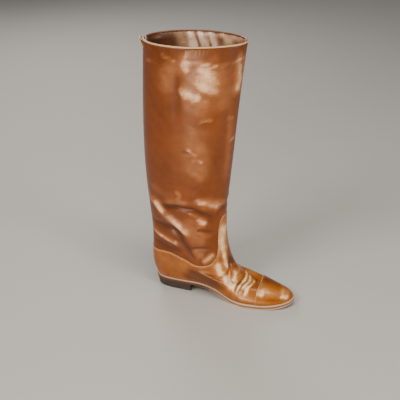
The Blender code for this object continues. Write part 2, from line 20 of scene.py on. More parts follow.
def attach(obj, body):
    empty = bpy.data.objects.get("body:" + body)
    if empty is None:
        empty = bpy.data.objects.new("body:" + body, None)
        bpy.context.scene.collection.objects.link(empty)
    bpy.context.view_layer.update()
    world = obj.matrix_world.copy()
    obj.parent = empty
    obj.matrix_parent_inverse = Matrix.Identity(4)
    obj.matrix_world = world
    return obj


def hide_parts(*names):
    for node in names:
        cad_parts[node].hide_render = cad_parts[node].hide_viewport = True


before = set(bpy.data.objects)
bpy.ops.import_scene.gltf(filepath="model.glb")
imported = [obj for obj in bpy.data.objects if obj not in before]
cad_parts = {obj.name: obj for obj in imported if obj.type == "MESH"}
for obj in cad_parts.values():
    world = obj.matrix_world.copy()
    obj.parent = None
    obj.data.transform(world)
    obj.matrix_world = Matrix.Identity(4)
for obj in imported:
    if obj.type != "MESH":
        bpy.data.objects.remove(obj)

LOG = logging.getLogger("riding_boot")
MM = 0.001
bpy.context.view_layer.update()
HALVINGS = 40

Point = tuple[float, float, float]
Colour = tuple[float, float, float]
Field = Callable[[np.ndarray], np.ndarray]
Socket = bpy.types.NodeSocket
Number = Socket | float


class Side(Enum):
    """Which half of the boot a mark lies on."""

    MEDIAL = -1
    BOTH = 0
    LATERAL = 1


class View(Enum):
    """The plane that a mark is drawn in, as the two axes it uses."""

    SIDE = (0, 2)
    TOP = (0, 1)


class Slot(Enum):
    """Names of material slots."""

    HIDE = "brown_leather"
    BINDING = "binding_leather"
    EDGE = "edge_leather"
    INSIDE = "insole_leather"
    STACK = "heel_leather"
    RUBBER = "heel_rubber"
    TAPE = "zip_tape"
    BRASS = "brass"


def smoothstep(t: np.ndarray | float) -> np.ndarray:
    """0 below 0, 1 above 1, and a soft S between."""
    t = np.clip(t, 0.0, 1.0)
    return t * t * (3 - 2 * t)


@dataclass
class Last:
    """The form that the boot is built on, as functions of place.

    around runs 0 at the back, 0.25 medial, 0.5 front, 0.75 lateral; level counts the rings upwards from
    0 at the welt to the last one at the collar. Foot rings are shares of the foot's length, the ankle's
    height and the ball's width; shaft rings are shares of the shaft's height and the collar's sizes.
    """

    foot_length: float = 0.270
    ball_width: float = 0.097
    ankle_height: float = 0.152
    shaft_height: float = 0.3195
    collar_depth: float = 0.172
    collar_width: float = 0.104
    collar_rise: float = 0.006
    toe_swing: float = 0.004
    heel_height: float = 0.016
    heel_length: float = 0.074
    outsole: float = 0.005
    welt: float = 0.003
    toe_spring: float = 0.0095
    clearance: float = 0.0003
    seat: float = 0.31
    tread_start: float = 0.61
    tread_end: float = 0.76
    feather: float = 0.35
    waist_from: float = 0.14
    ball_from: float = 0.42
    swell: float = 0.28
    sole_margins: tuple[float, float, float] = (0.0022, 0.0008, 0.0026)
    slit_half: float = 0.0036
    slit_flare: float = 0.0020
    zip_stations: int = 13
    # x and z of the front, x and z of the back, half widths of heel, waist and ball (medial, lateral),
    # roundness of the front and the back half, and how far the ring follows the curve of the bed.
    foot: tuple[tuple[float, ...], ...] = (
        (0.968, 0.0, 0.010, 0.0, 0.262, 0.285, 0.242, 0.325, 0.415, 0.455, 2.3, 10.0, 1.0),
        (0.962, 0.130, 0.000, 0.230, 0.298, 0.318, 0.299, 0.351, 0.425, 0.465, 2.3, 10.0, 0.95),
        (0.928, 0.158, -0.013, 0.309, 0.312, 0.328, 0.340, 0.366, 0.392, 0.415, 2.2, 9.0, 0.75),
        (0.815, 0.205, -0.018, 0.408, 0.316, 0.328, 0.361, 0.371, 0.362, 0.360, 2.1, 8.0, 0.45),
        (0.652, 0.248, -0.018, 0.526, 0.314, 0.320, 0.366, 0.371, 0.345, 0.340, 2.0, 7.0, 0.2),
        (0.566, 0.405, -0.0185, 0.658, 0.309, 0.309, 0.361, 0.361, 0.345, 0.345, 2.1, 5.0, 0.0),
        (0.514, 0.645, -0.0185, 0.789, 0.330, 0.330, 0.371, 0.371, 0.361, 0.361, 2.3, 3.5, 0.0),
        (0.493, 0.9605, -0.026, 0.980, 0.371, 0.371, 0.397, 0.397, 0.392, 0.392, 2.3, 2.8, 0.0),
    )
    # Height, middle, depth, width, rise of the front, and roundness of the front and the back half.
    shaft: tuple[tuple[float, ...], ...] = (
        (0.130, 0.2305, 0.850, 0.819, 0.35, 2.1, 2.4),
        (0.344, 0.2355, 0.909, 0.895, 0.55, 1.9, 2.3),
        (0.640, 0.2515, 0.950, 0.952, 0.65, 1.75, 2.2),
        (1.000, 0.2830, 0.988, 1.000, 1.00, 1.55, 2.1),
    )
    # Place round the boot and height of the vamp's seam, as a share of the ankle's height.
    seam: tuple[tuple[float, float], ...] = (
        (0.000, 0.553), (0.077, 0.552), (0.168, 0.566), (0.227, 0.520), (0.264, 0.455), (0.283, 0.444),
        (0.300, 0.448), (0.327, 0.467), (0.358, 0.520), (0.388, 0.595), (0.408, 0.725), (0.420, 0.905),
        (0.434, 1.050), (0.459, 1.108), (0.500, 1.118),
    )

    def __post_init__(self) -> None:
        """Turns the tables of shares into rings in metres, and finds the bends of the curves through them."""
        self.back_x = -self.heel_length / 2
        rows = []
        for ring in self.foot:
            ends = [self.back_x + ring[0] * self.foot_length, ring[1] * self.ankle_height]
            ends += [self.back_x + ring[2] * self.foot_length, ring[3] * self.ankle_height]
            rows.append([*ends, *[width * self.ball_width for width in ring[4:10]], *ring[10:]])
        rows[0][1], rows[0][3] = self.bed(rows[0][0]), self.bed(rows[0][2])
        for height, centre, depth, width, rise, front_n, back_n in self.shaft:
            middle = self.back_x + centre * self.foot_length
            z = self.ankle_height + height * self.shaft_height
            reach = depth * self.collar_depth / 2
            ends = [middle + reach, z + rise * self.collar_rise, middle - reach, z]
            rows.append([*ends, *[width * self.collar_width / 2] * 6, front_n, back_n, 0.0])
        self.rings = np.array(rows, float)
        self.top = len(rows) - 1
        system = np.eye(self.top + 1)
        bend = np.zeros_like(self.rings)
        for i in range(1, self.top):
            system[i, i - 1 : i + 2] = 1, 4, 1
            bend[i] = 6 * (self.rings[i - 1] - 2 * self.rings[i] + self.rings[i + 1])
        self.bends = np.linalg.solve(system, bend)
        rows_at_back = np.linspace(float(self.seam_level(0.0)), self.top, self.zip_stations)
        self.zip_foot, self.zip_open, self.zip_mouth = rows_at_back[1], rows_at_back[2], rows_at_back[-2]

    def share(self, x: np.ndarray) -> np.ndarray:
        """x as a share of the foot's length."""
        return (x - self.back_x) / self.foot_length

    def underside(self, x: np.ndarray) -> np.ndarray:
        """Height of the outsole's lower face at x.

        Args:
            x: places along the boot.

        Returns:
            Heights above the floor.
        """
        share = self.share(x)
        arch = 1 - smoothstep((share - self.seat) / (self.tread_start - self.seat))
        spring = np.clip((share - self.tread_end) / (1 - self.tread_end), 0, None) ** 2
        return self.heel_height * arch + self.toe_spring * spring

    def bed(self, x: np.ndarray) -> np.ndarray:
        """Height of the line where the upper stands on the welt."""
        return self.underside(x) + self.outsole + self.welt + 2 * self.clearance

    def centre_line(self, x: np.ndarray) -> np.ndarray:
        """Sideways swing of the last towards the toe."""
        return -self.toe_swing * smoothstep((self.share(x) - self.seat) / (1 - self.seat)) ** 2

    def ring(self, level: np.ndarray) -> np.ndarray:
        """The sizes of the ring at each level, on smooth curves through the tables.

        Args:
            level: rings counted upwards, with parts of a ring between.

        Returns:
            The sizes, in the tables' order along a new last axis.
        """
        i = np.clip(np.floor(level).astype(int), 0, self.top - 1)
        t = (level - i)[..., None]
        straight = (1 - t) * self.rings[i] + t * self.rings[i + 1]
        bent = ((1 - t) ** 3 - (1 - t)) * self.bends[i] + (t**3 - t) * self.bends[i + 1]
        return straight + bent / 6

    @staticmethod
    def forward(around: np.ndarray) -> np.ndarray:
        """How far forward a place round a ring lies: 0 at the back, 1 at the front."""
        return (1 - np.cos(2 * np.pi * around)) / 2

    def surface(self, around: np.ndarray, level: np.ndarray, grow: np.ndarray | float = 0.0) -> np.ndarray:
        """Points of the upper's outer face.

        Args:
            around: place round the ring.
            level: ring that the point lies on.
            grow: how far the ring is widened in its own plane.

        Returns:
            Points as an array with x, y, z along its last axis.
        """
        around, level = np.broadcast_arrays(np.asarray(around, float) % 1.0, np.asarray(level, float))
        size = self.ring(level)
        front_x, front_z = size[..., 0] + grow, size[..., 1]
        back_x, back_z = size[..., 2] - grow, size[..., 3]
        medial = around < 0.5
        share = self.forward(around)
        heel, waist, ball = (np.where(medial, size[..., k], size[..., k + 1]) for k in (4, 6, 8))
        half = heel + (waist - heel) * smoothstep((share - self.waist_from) / self.swell)
        half = half + (ball - waist) * smoothstep((share - self.ball_from) / self.swell) + grow
        roundness = np.where(share > 0.5, size[..., 10], size[..., 11])
        half = half * np.sqrt(np.clip(1 - np.abs(2 * share - 1) ** roundness, 0, None))
        x = back_x + share * (front_x - back_x)
        straight = self.bed(back_x) + share * (self.bed(front_x) - self.bed(back_x))
        z = back_z + share * (front_z - back_z) + size[..., 12] * (self.bed(x) - straight)
        return np.stack([x, self.centre_line(x) + np.where(medial, -half, half), z], -1)

    def normal(self, around: np.ndarray, level: np.ndarray) -> np.ndarray:
        """Outward unit normals, level with the floor along the welt.

        Args:
            around: places round the rings.
            level: their levels.

        Returns:
            Normals as an array with x, y, z along its last axis.
        """
        around, level = np.broadcast_arrays(np.asarray(around, float), np.asarray(level, float))
        inside = np.clip(level, 0.02, self.top - 0.02)
        across = self.surface(around + 2e-3, inside) - self.surface(around - 2e-3, inside)
        up = self.surface(around, inside + 0.01) - self.surface(around, inside - 0.01)
        out = np.cross(across, up)
        out /= np.maximum(np.linalg.norm(out, axis=-1, keepdims=True), 1e-12)
        out[..., 2] *= smoothstep(level / self.feather)
        return out / np.maximum(np.linalg.norm(out, axis=-1, keepdims=True), 1e-12)

    def raised(self, around: np.ndarray, level: np.ndarray, height: np.ndarray | float) -> np.ndarray:
        """Points height above the upper's outer face, standing on the welt at their foot.

        Args:
            around: places round the rings.
            level: their levels.
            height: how far they stand off the face.

        Returns:
            Points as an array with x, y, z along its last axis.
        """
        start = self.surface(around, level)
        point = start + self.normal(around, level) * np.asarray(height)[..., None]
        low = 1 - smoothstep(np.broadcast_to(level, start.shape[:-1]) / self.feather)
        point[..., 2] += low * (self.bed(point[..., 0]) - self.bed(start[..., 0]))
        return point

    def level_where(self, around: np.ndarray, measure: Field, target: np.ndarray | float) -> np.ndarray:
        """The level at which a measure of the point, rising with level, reaches its target.

        Args:
            around: places round the rings.
            measure: the measure, taken of points.
            target: what it reaches.

        Returns:
            The levels, found by halving.
        """
        around = np.asarray(around, float)
        low, high = np.zeros_like(around), np.full_like(around, float(self.top))
        for _ in range(HALVINGS):
            middle = (low + high) / 2
            below = measure(self.surface(around, middle)) < target
            low, high = np.where(below, middle, low), np.where(below, high, middle)
        return (low + high) / 2

    def level_at(self, around: np.ndarray, z: np.ndarray) -> np.ndarray:
        """The level at height z."""
        return self.level_where(around, lambda point: point[..., 2], z)

    def seam_level(self, around: np.ndarray) -> np.ndarray:
        """Level of the seam between vamp and leg, on a curve that never swings past its points.

        Args:
            around: places round the rings.

        Returns:
            The seam's levels there.
        """
        knots, values = np.array(self.seam, float).T
        values = values * self.ankle_height
        step, slope = np.diff(knots), np.diff(values) / np.diff(knots)
        tangent = np.zeros(len(knots))
        same = slope[:-1] * slope[1:] > 0
        before, after = slope[:-1][same], slope[1:][same]
        tangent[1:-1][same] = 2 * before * after / (before + after)
        place = np.asarray(around, float) % 1.0
        place = np.minimum(place, 1 - place)
        i = np.clip(np.searchsorted(knots, place, side="right") - 1, 0, len(knots) - 2)
        t = np.clip((place - knots[i]) / step[i], 0, 1)
        height = values[i] * (1 + 2 * t) * (1 - t) ** 2 + values[i + 1] * t * t * (3 - 2 * t)
        height += step[i] * (tangent[i] * t * (1 - t) ** 2 + tangent[i + 1] * t * t * (t - 1))
        return self.level_at(around, height)

    def beside_zip(self, level: np.ndarray, distance: np.ndarray | float) -> np.ndarray:
        """How far round from the back line a point lies at this distance beside it.

        Args:
            level: levels of the points.
            distance: how far they lie beside the back line.

        Returns:
            Places round the rings, on the medial side.
        """
        probe = 0.01
        width = np.abs(self.surface(probe, level)[..., 1] - self.surface(0.0, level)[..., 1])
        return probe * distance / width

    def slit(self, level: np.ndarray) -> np.ndarray:
        """Half width of the zip's slit at a level.

        Args:
            level: levels up the back.

        Returns:
            Half widths in metres.
        """
        opened = np.clip((level - self.zip_foot) / (self.zip_open - self.zip_foot), 0, 1)
        mouth = smoothstep((level - self.zip_mouth) / (self.top - self.zip_mouth))
        return opened * (self.slit_half + self.slit_flare * mouth)

    def margin(self, around: np.ndarray) -> np.ndarray:
        """How far the sole reaches beyond the upper.

        Args:
            around: places round the sole.

        Returns:
            Margins in metres.
        """
        share = self.forward(np.asarray(around))
        heel, more_at_waist, more_at_ball = self.sole_margins
        waist = heel + more_at_waist * smoothstep((share - self.waist_from) / self.swell)
        return waist + more_at_ball * smoothstep((share - self.ball_from) / self.swell)

    def outline(self, around: np.ndarray, inset: float = 0.0) -> np.ndarray:
        """Points of the sole's edge in plan, moved inwards by inset."""
        return self.surface(around, np.zeros_like(around), self.margin(around) - inset)


# How a mark dies out: lengths in half widths or in shares of its run, and the blend over the boot's
# middle in metres.
REACH = 4.0
TAPERED_SHARE = 0.22
THINNEST = 0.45
SHOULDER_DEPTH = 0.35
HAZE_WIDTH = 1.3
MIDLINE_BLEND = 0.016
LINE_STEPS = 6


@dataclass(frozen=True)
class Mark:
    """A crease, ridge or streak along a line drawn in millimetres; its tone paints a highlight (partly rubbed
    wear) when paler and shade when darker.

    rise is the height in millimetres at the line's middle, below 0 for a trough; the tone is how much paler (a
    painted highlight, partly rubbed wear) or darker (painted shade) the colour is painted there; width is the
    half width in millimetres. waver is how far the outline strays to and fro, as a share of the width.
    """

    points: tuple[tuple[float, float], ...]
    width: float
    rise: float
    tone: float
    side: Side = Side.MEDIAL
    view: View = View.SIDE
    waver: float = 0.10

    def line(self) -> np.ndarray:
        """The smooth line through the points, in metres.

        Returns:
            Points of the line, in the two axes of its plane.
        """
        knots = np.array(self.points, float) * MM
        padded = np.vstack([2 * knots[0] - knots[1], knots, 2 * knots[-1] - knots[-2]])
        steps = np.linspace(0, 1, LINE_STEPS + 1)[:-1, None]
        parts = []
        for a, b, c, d in zip(padded, padded[1:], padded[2:], padded[3:]):
            bend = (2 * a - 5 * b + 4 * c - d) * steps**2 + (3 * b - a - 3 * c + d) * steps**3
            parts.append(b + ((c - a) * steps + bend) / 2)
        return np.vstack([*parts, knots[-1:]])

    def wavered(self, flat: np.ndarray) -> np.ndarray:
        """Places moved a little to and fro, so that the mark's outline wavers.

        Args:
            flat: places in the mark's plane, one row each.

        Returns:
            The moved places.
        """
        u, v = (flat / (self.width * MM)).T
        sideways = np.sin(1.1 * v + 0.7 * np.sin(0.6 * u))
        endways = np.sin(0.9 * u + 0.8 * np.sin(0.7 * v) + 2.0)
        shift = np.stack([sideways, endways], 1)
        return flat + self.waver * self.width * MM * shift

    def effect(self, places: np.ndarray) -> tuple[np.ndarray, np.ndarray]:
        """What the mark does at each place.

        Args:
            places: points in metres, one row each.

        Returns:
            Height in metres, and the change of tone.
        """
        flat, line, width = self.wavered(places[:, self.view.value]), self.line(), self.width * MM
        reach = REACH * width
        near = np.all((flat > line.min(0) - reach) & (flat < line.max(0) + reach), axis=1)
        height, tone = np.zeros(len(places)), np.zeros(len(places))
        if near.any():
            start, run = line[:-1], np.diff(line, axis=0)
            away = flat[near][:, None] - start
            t = np.clip((away * run).sum(-1) / (run**2).sum(-1), 0, 1)
            gap = np.linalg.norm(away - t[..., None] * run, axis=-1)
            nearest = gap.argmin(1)
            rows = np.arange(len(nearest))
            distance = gap[rows, nearest]
            along = (nearest + t[rows, nearest]) / len(run)
            ends = smoothstep(along / TAPERED_SHARE) * smoothstep((1 - along) / TAPERED_SHARE)
            narrow = width * (THINNEST + (1 - THINNEST) * ends)
            core = np.exp(-((distance / narrow) ** 2)) * ends
            shoulder = np.exp(-(((distance - 2 * narrow) / narrow) ** 2)) * ends
            beside = 1.0
            if self.side is not Side.BOTH:
                beside = smoothstep(0.5 + self.side.value * places[near][:, 1] / MIDLINE_BLEND)
            height[near] = self.rise * MM * (core - SHOULDER_DEPTH * shoulder) * beside
            # Paler marks, painted highlights, fade out in a wider haze; darker ones, painted shade, keep to the
            # core.
            haze = np.exp(-((distance / (HAZE_WIDTH * narrow)) ** 2)) * ends
            tone[near] = self.tone * (haze if self.tone > 0 else core) * beside
        return height, tone


def relief(places: np.ndarray, marks: Sequence[Mark]) -> tuple[np.ndarray, np.ndarray]:
    """Sums the marks over a grid of places.

    Args:
        places: grid of points, x, y, z along the last axis.
        marks: the creases and worn streaks.

    Returns:
        Heights in metres and tones, in the grid's shape.
    """
    flat = places.reshape(-1, 3)
    height, tone = np.zeros(len(flat)), np.zeros(len(flat))
    for mark in marks:
        rise, paler = mark.effect(flat)
        height += rise
        tone += paler
    shape = places.shape[:-1]
    return height.reshape(shape), tone.reshape(shape)


def across(marks: Sequence[Mark], shift: tuple[float, float], share: float) -> list[Mark]:
    """The other side's creases: like these, moved a little and weaker.

    Args:
        marks: the creases of the side that the photo shows.
        shift: how far they move, in millimetres.
        share: how strong they are beside the first.

    Returns:
        The marks of the lateral side.
    """
    moved = []
    for mark in marks:
        points = tuple((a + shift[0], b + shift[1]) for a, b in mark.points)
        changed = replace(mark, points=points, rise=mark.rise * share, tone=mark.tone * share)
        moved.append(replace(changed, side=Side.LATERAL))
    return moved


def in_plan(*rows: tuple) -> list[Mark]:
    """Marks drawn from above, on both halves of the foot."""
    return [Mark(*row, side=Side.BOTH, view=View.TOP) for row in rows]


def on_lateral_half(*rows: tuple) -> list[Mark]:
    """Marks drawn from the side, on the outer half of the boot."""
    return [Mark(*row, side=Side.LATERAL) for row in rows]


# Each mark has its points, its half width, its rise and its tone: paler for a painted highlight (partly rubbed
# wear), darker for painted shade.
# Painted light of the slouched ankle: the pale marks along its ridges are painted highlights, the dark ones in
# its folds painted shade.
ANKLE_MARKS = [
    Mark(
        ((-42, 202), (-34, 195), (-21, 185), (-8, 171), (5, 162), (22, 148), (33, 134), (40, 124)),
        6.0, 2.3, 0.60,
    ),
    Mark(((-28, 192), (-16, 181), (-4, 168)), 5.6, 0.3, 0.55),
    Mark(((6, 161), (18, 152), (28, 140)), 3.6, 0.2, 0.32),
    Mark(((-40, 134), (-32, 125), (-23, 120), (-11, 116), (1, 114), (14, 109), (22, 103)), 3.6, 1.9, 0.62),
    Mark(((-20, 119), (-9, 116), (3, 113)), 2.8, 0.1, 0.42),
    Mark(
        ((-40, 152), (-26, 144), (-8, 144), (8, 140), (21, 128), (31, 109), (42, 92), (52, 76)),
        6.5, -2.3, -0.62,
    ),
    Mark(((-34, 106), (-19, 100), (-1, 97), (15, 96), (31, 89)), 6.0, -1.2, -0.48),
    Mark(
        ((-18, 184), (-6, 186), (11, 188), (29, 190), (44, 187), (60, 182), (71, 176), (80, 167)),
        4.4, -2.1, -0.75,
    ),
    Mark(((-10, 197), (10, 199), (26, 198), (42, 197)), 5.0, 0.8, 0.26),
    Mark(((46, 202), (58, 203), (70, 203), (82, 199), (92, 199), (101, 201)), 5.6, 1.7, 0.52),
    Mark(((54, 202), (61, 202), (69, 201)), 3.0, 0.2, 0.42),
    Mark(((84, 198), (87, 191), (90, 185)), 3.2, 0.2, 0.42),
    Mark(((58, 197), (74, 193), (88, 194)), 5.0, 0.0, 0.26),
    Mark(((34, 182), (49, 177), (60, 166), (72, 157)), 5.0, 1.7, 0.36),
    Mark(((52, 171), (61, 164), (73, 157)), 4.0, 0.6, 0.72),
    Mark(((54, 162), (60, 158), (70, 157)), 3.4, 0.0, 0.36),
    Mark(((30, 168), (40, 150), (54, 128), (72, 126)), 13.0, 0.6, 0.36),
    Mark(((52, 145), (60, 144), (72, 143), (84, 140)), 3.0, -1.2, -0.62),
    Mark(((76, 182), (79, 170), (75, 158)), 5.0, -0.5, -0.38),
    Mark(((40, 106), (50, 105), (63, 106), (84, 105)), 3.0, -0.9, -0.50),
    Mark(((40, 98), (52, 96), (66, 86)), 8.0, 0.6, 0.40),
    Mark(((60, 76), (68, 79), (77, 88), (83, 99)), 4.5, 0.5, 0.66),
    Mark(((52, 136), (66, 134), (80, 131)), 4.0, 0.5, 0.16),
    Mark(((84, 172), (92, 183), (96, 194)), 3.0, -0.8, -0.4),
]

# Painted light of the shaft: its pale patches and streaks are painted highlights standing in for reflections,
# its darker bands painted shade; the rises are the leather's own dents and creases.
SHAFT_MARKS = [
    Mark(((-36, 228), (-18, 218), (2, 212), (18, 216)), 5.0, 0.8, 0.12),
    Mark(((14, 222), (22, 218), (24, 211), (16, 203)), 2.8, 0.7, 0.40),
    Mark(((58, 325), (64, 290), (64, 262), (58, 233)), 8.0, 0.6, 0.18),
    Mark(((44, 262), (56, 256), (66, 244)), 3.2, 0.4, 0.20),
    Mark(((38, 308), (49, 298), (58, 292)), 2.0, 0.45, 0.70),
    Mark(((45, 286), (57, 285), (68, 279)), 1.8, 0.40, 0.60),
    Mark(((28, 300), (44, 298), (60, 300)), 3.0, -0.5, -0.25),
    Mark(((58, 353), (70, 356), (84, 357)), 1.8, 0.35, 0.55),
    Mark(((60, 349), (72, 351), (84, 352)), 1.8, -0.35, -0.30),
    Mark(((100, 359), (110, 356)), 1.7, 0.3, 0.60),
    Mark(((104, 314), (109, 322)), 1.7, 0.3, 0.45),
    Mark(((-4, 461), (12, 455), (28, 451)), 1.8, -0.3, 0.45),
    Mark(((26, 450), (44, 451), (65, 451), (88, 446), (105, 446)), 1.5, -0.30, 0.60),
    Mark(((58, 456), (72, 440), (71, 420), (62, 398)), 12.0, 0.7, 0.92, waver=0.3),
    Mark(((26, 404), (40, 402), (52, 396), (60, 384)), 7.0, 0.7, 0.86, waver=0.3),
    Mark(((62, 398), (66, 380), (62, 362)), 10.0, 0.4, 0.30, waver=0.3),
    Mark(((40, 470), (38, 452), (42, 430)), 5.5, 0.5, 0.66, waver=0.3),
    Mark(((2, 452), (10, 425), (6, 392)), 10.0, 0.6, 0.30, waver=0.3),
    Mark(((30, 470), (40, 440), (46, 405), (46, 360)), 26.0, 0.0, 0.16),
    Mark(((88, 448), (94, 410), (92, 360)), 10.0, 0.0, 0.26),
    Mark(((46, 350), (54, 300), (50, 240)), 22.0, 0.0, 0.10),
    Mark(((24, 440), (26, 400), (22, 350)), 8.0, -0.8, -0.22),
    Mark(((94, 440), (97, 400), (96, 350), (92, 300), (88, 250)), 8.0, -0.7, -0.06),
    Mark(((-34, 440), (-36, 390), (-36, 330), (-36, 270)), 9.0, 0.5, -0.20),
    Mark(((44, 350), (50, 320), (46, 280), (40, 240)), 12.0, 0.8, 0.15),
    Mark(((119, 472), (117, 440), (115, 415), (110, 388)), 3.4, 0.7, 0.74),
    Mark(((107, 380), (104, 330), (101, 280), (97, 230)), 3.0, 0.4, 0.24),
]

# Painted light inside the collar: the pale streaks are painted highlights of the glossy lining, the darker ones
# beside them painted shade.
LINING_MARKS = on_lateral_half(
    (((-10, 478), (0, 462), (6, 436)), 5.5, -1.0, 0.50),
    (((10, 479), (19, 462), (24, 436)), 6.0, -1.4, 1.25),
    (((28, 479), (36, 464), (48, 440)), 5.5, -1.2, 1.20),
    (((46, 480), (52, 466), (66, 446)), 4.6, -0.9, 1.05),
    (((20, 479), (27, 464), (33, 440)), 2.4, 1.0, -0.70),
    (((38, 480), (45, 464), (58, 442)), 2.2, 0.9, -0.60),
    (((64, 482), (78, 470), (98, 460)), 5.2, -0.9, 0.95),
    (((60, 480), (68, 466), (84, 452)), 2.4, 0.7, -0.50),
    (((86, 482), (102, 475), (114, 470)), 5.0, -0.7, 0.66),
    (((0, 452), (40, 446), (90, 456)), 9.0, 0.6, 0.25),
)

# Painted light on the vamp: the pale streaks down the instep and the pale places on the ball are painted
# highlights; the dark bands low on the waist and at the back are painted shade.
VAMP_MARKS = [
    Mark(((93, 162), (93, 139), (92, 122), (94, 104), (99, 88)), 4.6, 0.9, 0.95),
    Mark(((97, 98), (99, 86), (103, 71), (109, 57)), 2.4, 0.8, 0.95),
    Mark(((89, 82), (90, 68), (94, 57), (100, 46)), 5.5, 0.5, 1.0),
    Mark(((100, 52), (106, 44), (114, 38), (123, 27)), 4.2, 0.9, 0.90),
    Mark(((104, 88), (109, 70), (107, 57), (103, 51)), 2.2, -1.0, -0.75),
    Mark(((107, 86), (111, 70), (114, 58)), 3.2, -0.4, -0.40),
    Mark(((85, 114), (88, 98), (91, 84)), 2.2, 0.3, 0.45),
    Mark(((28, 52), (50, 54), (74, 45), (95, 34), (114, 20)), 9.0, 0.0, -0.78),
    Mark(((96, 62), (110, 46), (126, 34)), 11.0, 0.0, 0.22),
    Mark(((118, 42), (138, 36), (158, 31)), 7.0, 0.0, 0.26),
    Mark(((14, 42), (40, 37), (62, 33), (82, 27), (100, 16)), 11.0, 0.0, -0.98),
    Mark(((130, 20), (150, 17), (168, 17)), 4.0, 0.0, 0.34),
    Mark(((-30, 74), (-10, 70), (20, 60), (44, 50)), 9.0, 0.5, 0.15),
    Mark(((-38, 66), (-36, 46), (-32, 28)), 7.0, 0.0, -0.30),
]

# Painted light of the toe break, drawn from above: pale marks on its ridges are painted highlights, dark ones
# in its troughs painted shade.
TOE_BREAK_MARKS = in_plan(
    (((100, 6), (106, -10), (115, -23), (128, -33)), 2.4, -0.6, -0.25),
    (((108, -12), (112, -22), (119, -32), (128, -40)), 1.8, 0.6, 0.60),
    (((101, 6), (106, 16), (114, 26), (124, 35)), 2.4, -0.8, -0.3),
    (((124, 28), (131, 15), (134, 0), (132, -16), (128, -30), (121, -41)), 1.5, -0.75, -0.60),
    (((128, 22), (134, 12), (138, -3), (136, -18), (132, -31), (126, -41)), 1.6, 0.65, 1.25),
    (((136, 20), (141, 8), (142, -6), (139, -20), (136, -30), (131, -39)), 1.2, -0.65, -0.60),
    (((139, 12), (145, 2), (146, -12), (142, -24), (137, -35)), 1.4, 0.55, 1.20),
    (((146, 18), (149, 6), (150, -8), (147, -20), (143, -31), (138, -39)), 1.2, -0.60, -0.50),
    (((150, 6), (154, -6), (152, -18), (147, -30), (143, -38)), 1.3, 0.50, 1.15),
    (((156, 12), (158, -2), (157, -16), (153, -28), (149, -36)), 1.1, -0.45, -0.40),
    (((118, 18), (122, 6), (122, -8), (119, -20), (114, -30)), 1.8, 0.55, 0.50),
    (((112, 12), (116, 0), (115, -12), (111, -22)), 1.6, -0.60, -0.30),
    (((138, -25), (144, -30), (151, -34)), 4.6, 0.2, 0.85),
    (((133, -16), (130, -27), (126, -37)), 1.8, -0.7, -0.60),
    (((116, -4), (121, -16), (124, -28), (121, -38)), 3.0, 0.7, 0.80),
    (((148, 8), (156, 2), (162, -2)), 5.0, 0.0, -0.45),
    (((108, 8), (122, 4), (138, 6)), 7.0, 0.0, -0.30),
)

# Painted light of the toe cap: the dark band over its top is a painted reflection, the pale marks on its side
# and tip painted highlights.
CAP_MARKS = [
    *in_plan((((158, 12), (176, 3), (194, 0), (210, 0)), 15.0, 0.3, -0.85)),
    Mark(((158, 29), (168, 26), (180, 25)), 2.8, 0.1, 0.90),
    Mark(((204, 21.5), (213, 20.5), (222, 19.5)), 1.6, 0.1, 1.10),
    Mark(((160, 34), (180, 31), (200, 28), (222, 23)), 5.4, 0.0, 0.60),
    Mark(((178, 18), (200, 18), (218, 18)), 2.6, 0.0, -0.42),
    Mark(((160, 14), (176, 14), (196, 14)), 2.4, 0.0, 0.25),
]


def draped(points: np.ndarray, layers: dict[str, np.ndarray] | None = None) -> bmesh.types.BMesh:
    """A grid laid over points, with coincident corners merged.

    Args:
        points: places of the grid's corners, columns by rows by 3.
        layers: named values of each corner, kept as float attributes.

    Returns:
        The new mesh.
    """
    columns, rows = points.shape[0] - 1, points.shape[1] - 1
    mesh = bmesh.new()
    bmesh.ops.create_grid(mesh, x_segments=columns, y_segments=rows, size=1.0)
    kept = {name: mesh.verts.layers.float.new(name) for name in layers or {}}
    flat = np.array([vertex.co[:2] for vertex in mesh.verts])
    i = np.rint((flat[:, 0] + 1) / 2 * columns).astype(int)
    j = np.rint((flat[:, 1] + 1) / 2 * rows).astype(int)
    for vertex, place in zip(mesh.verts, points[i, j].tolist()):
        vertex.co = place
    for name, layer in kept.items():
        for vertex, value in zip(mesh.verts, layers[name][i, j].tolist()):
            vertex[layer] = value
    bmesh.ops.remove_doubles(mesh, verts=mesh.verts, dist=2e-6)
    return mesh


def swept(
    rings: np.ndarray, close_ends: bool = True, layers: dict[str, np.ndarray] | None = None
) -> bmesh.types.BMesh:
    """A solid skin through closed sections.

    Args:
        rings: stations by section points by 3, without the repeated last point.
        close_ends: whether the first and last section are filled.
        layers: named values of each point, kept as float attributes.

    Returns:
        The new mesh, with its faces turned outwards.
    """
    closed = np.concatenate([rings, rings[:, :1]], axis=1)
    around = {name: np.concatenate([values, values[:, :1]], axis=1) for name, values in (layers or {}).items()}
    mesh = draped(closed, around)
    if close_ends:
        rim = [edge for edge in mesh.edges if edge.is_boundary]
        bmesh.ops.holes_fill(mesh, edges=rim, sides=0)
    bmesh.ops.recalc_face_normals(mesh, faces=mesh.faces)
    return mesh


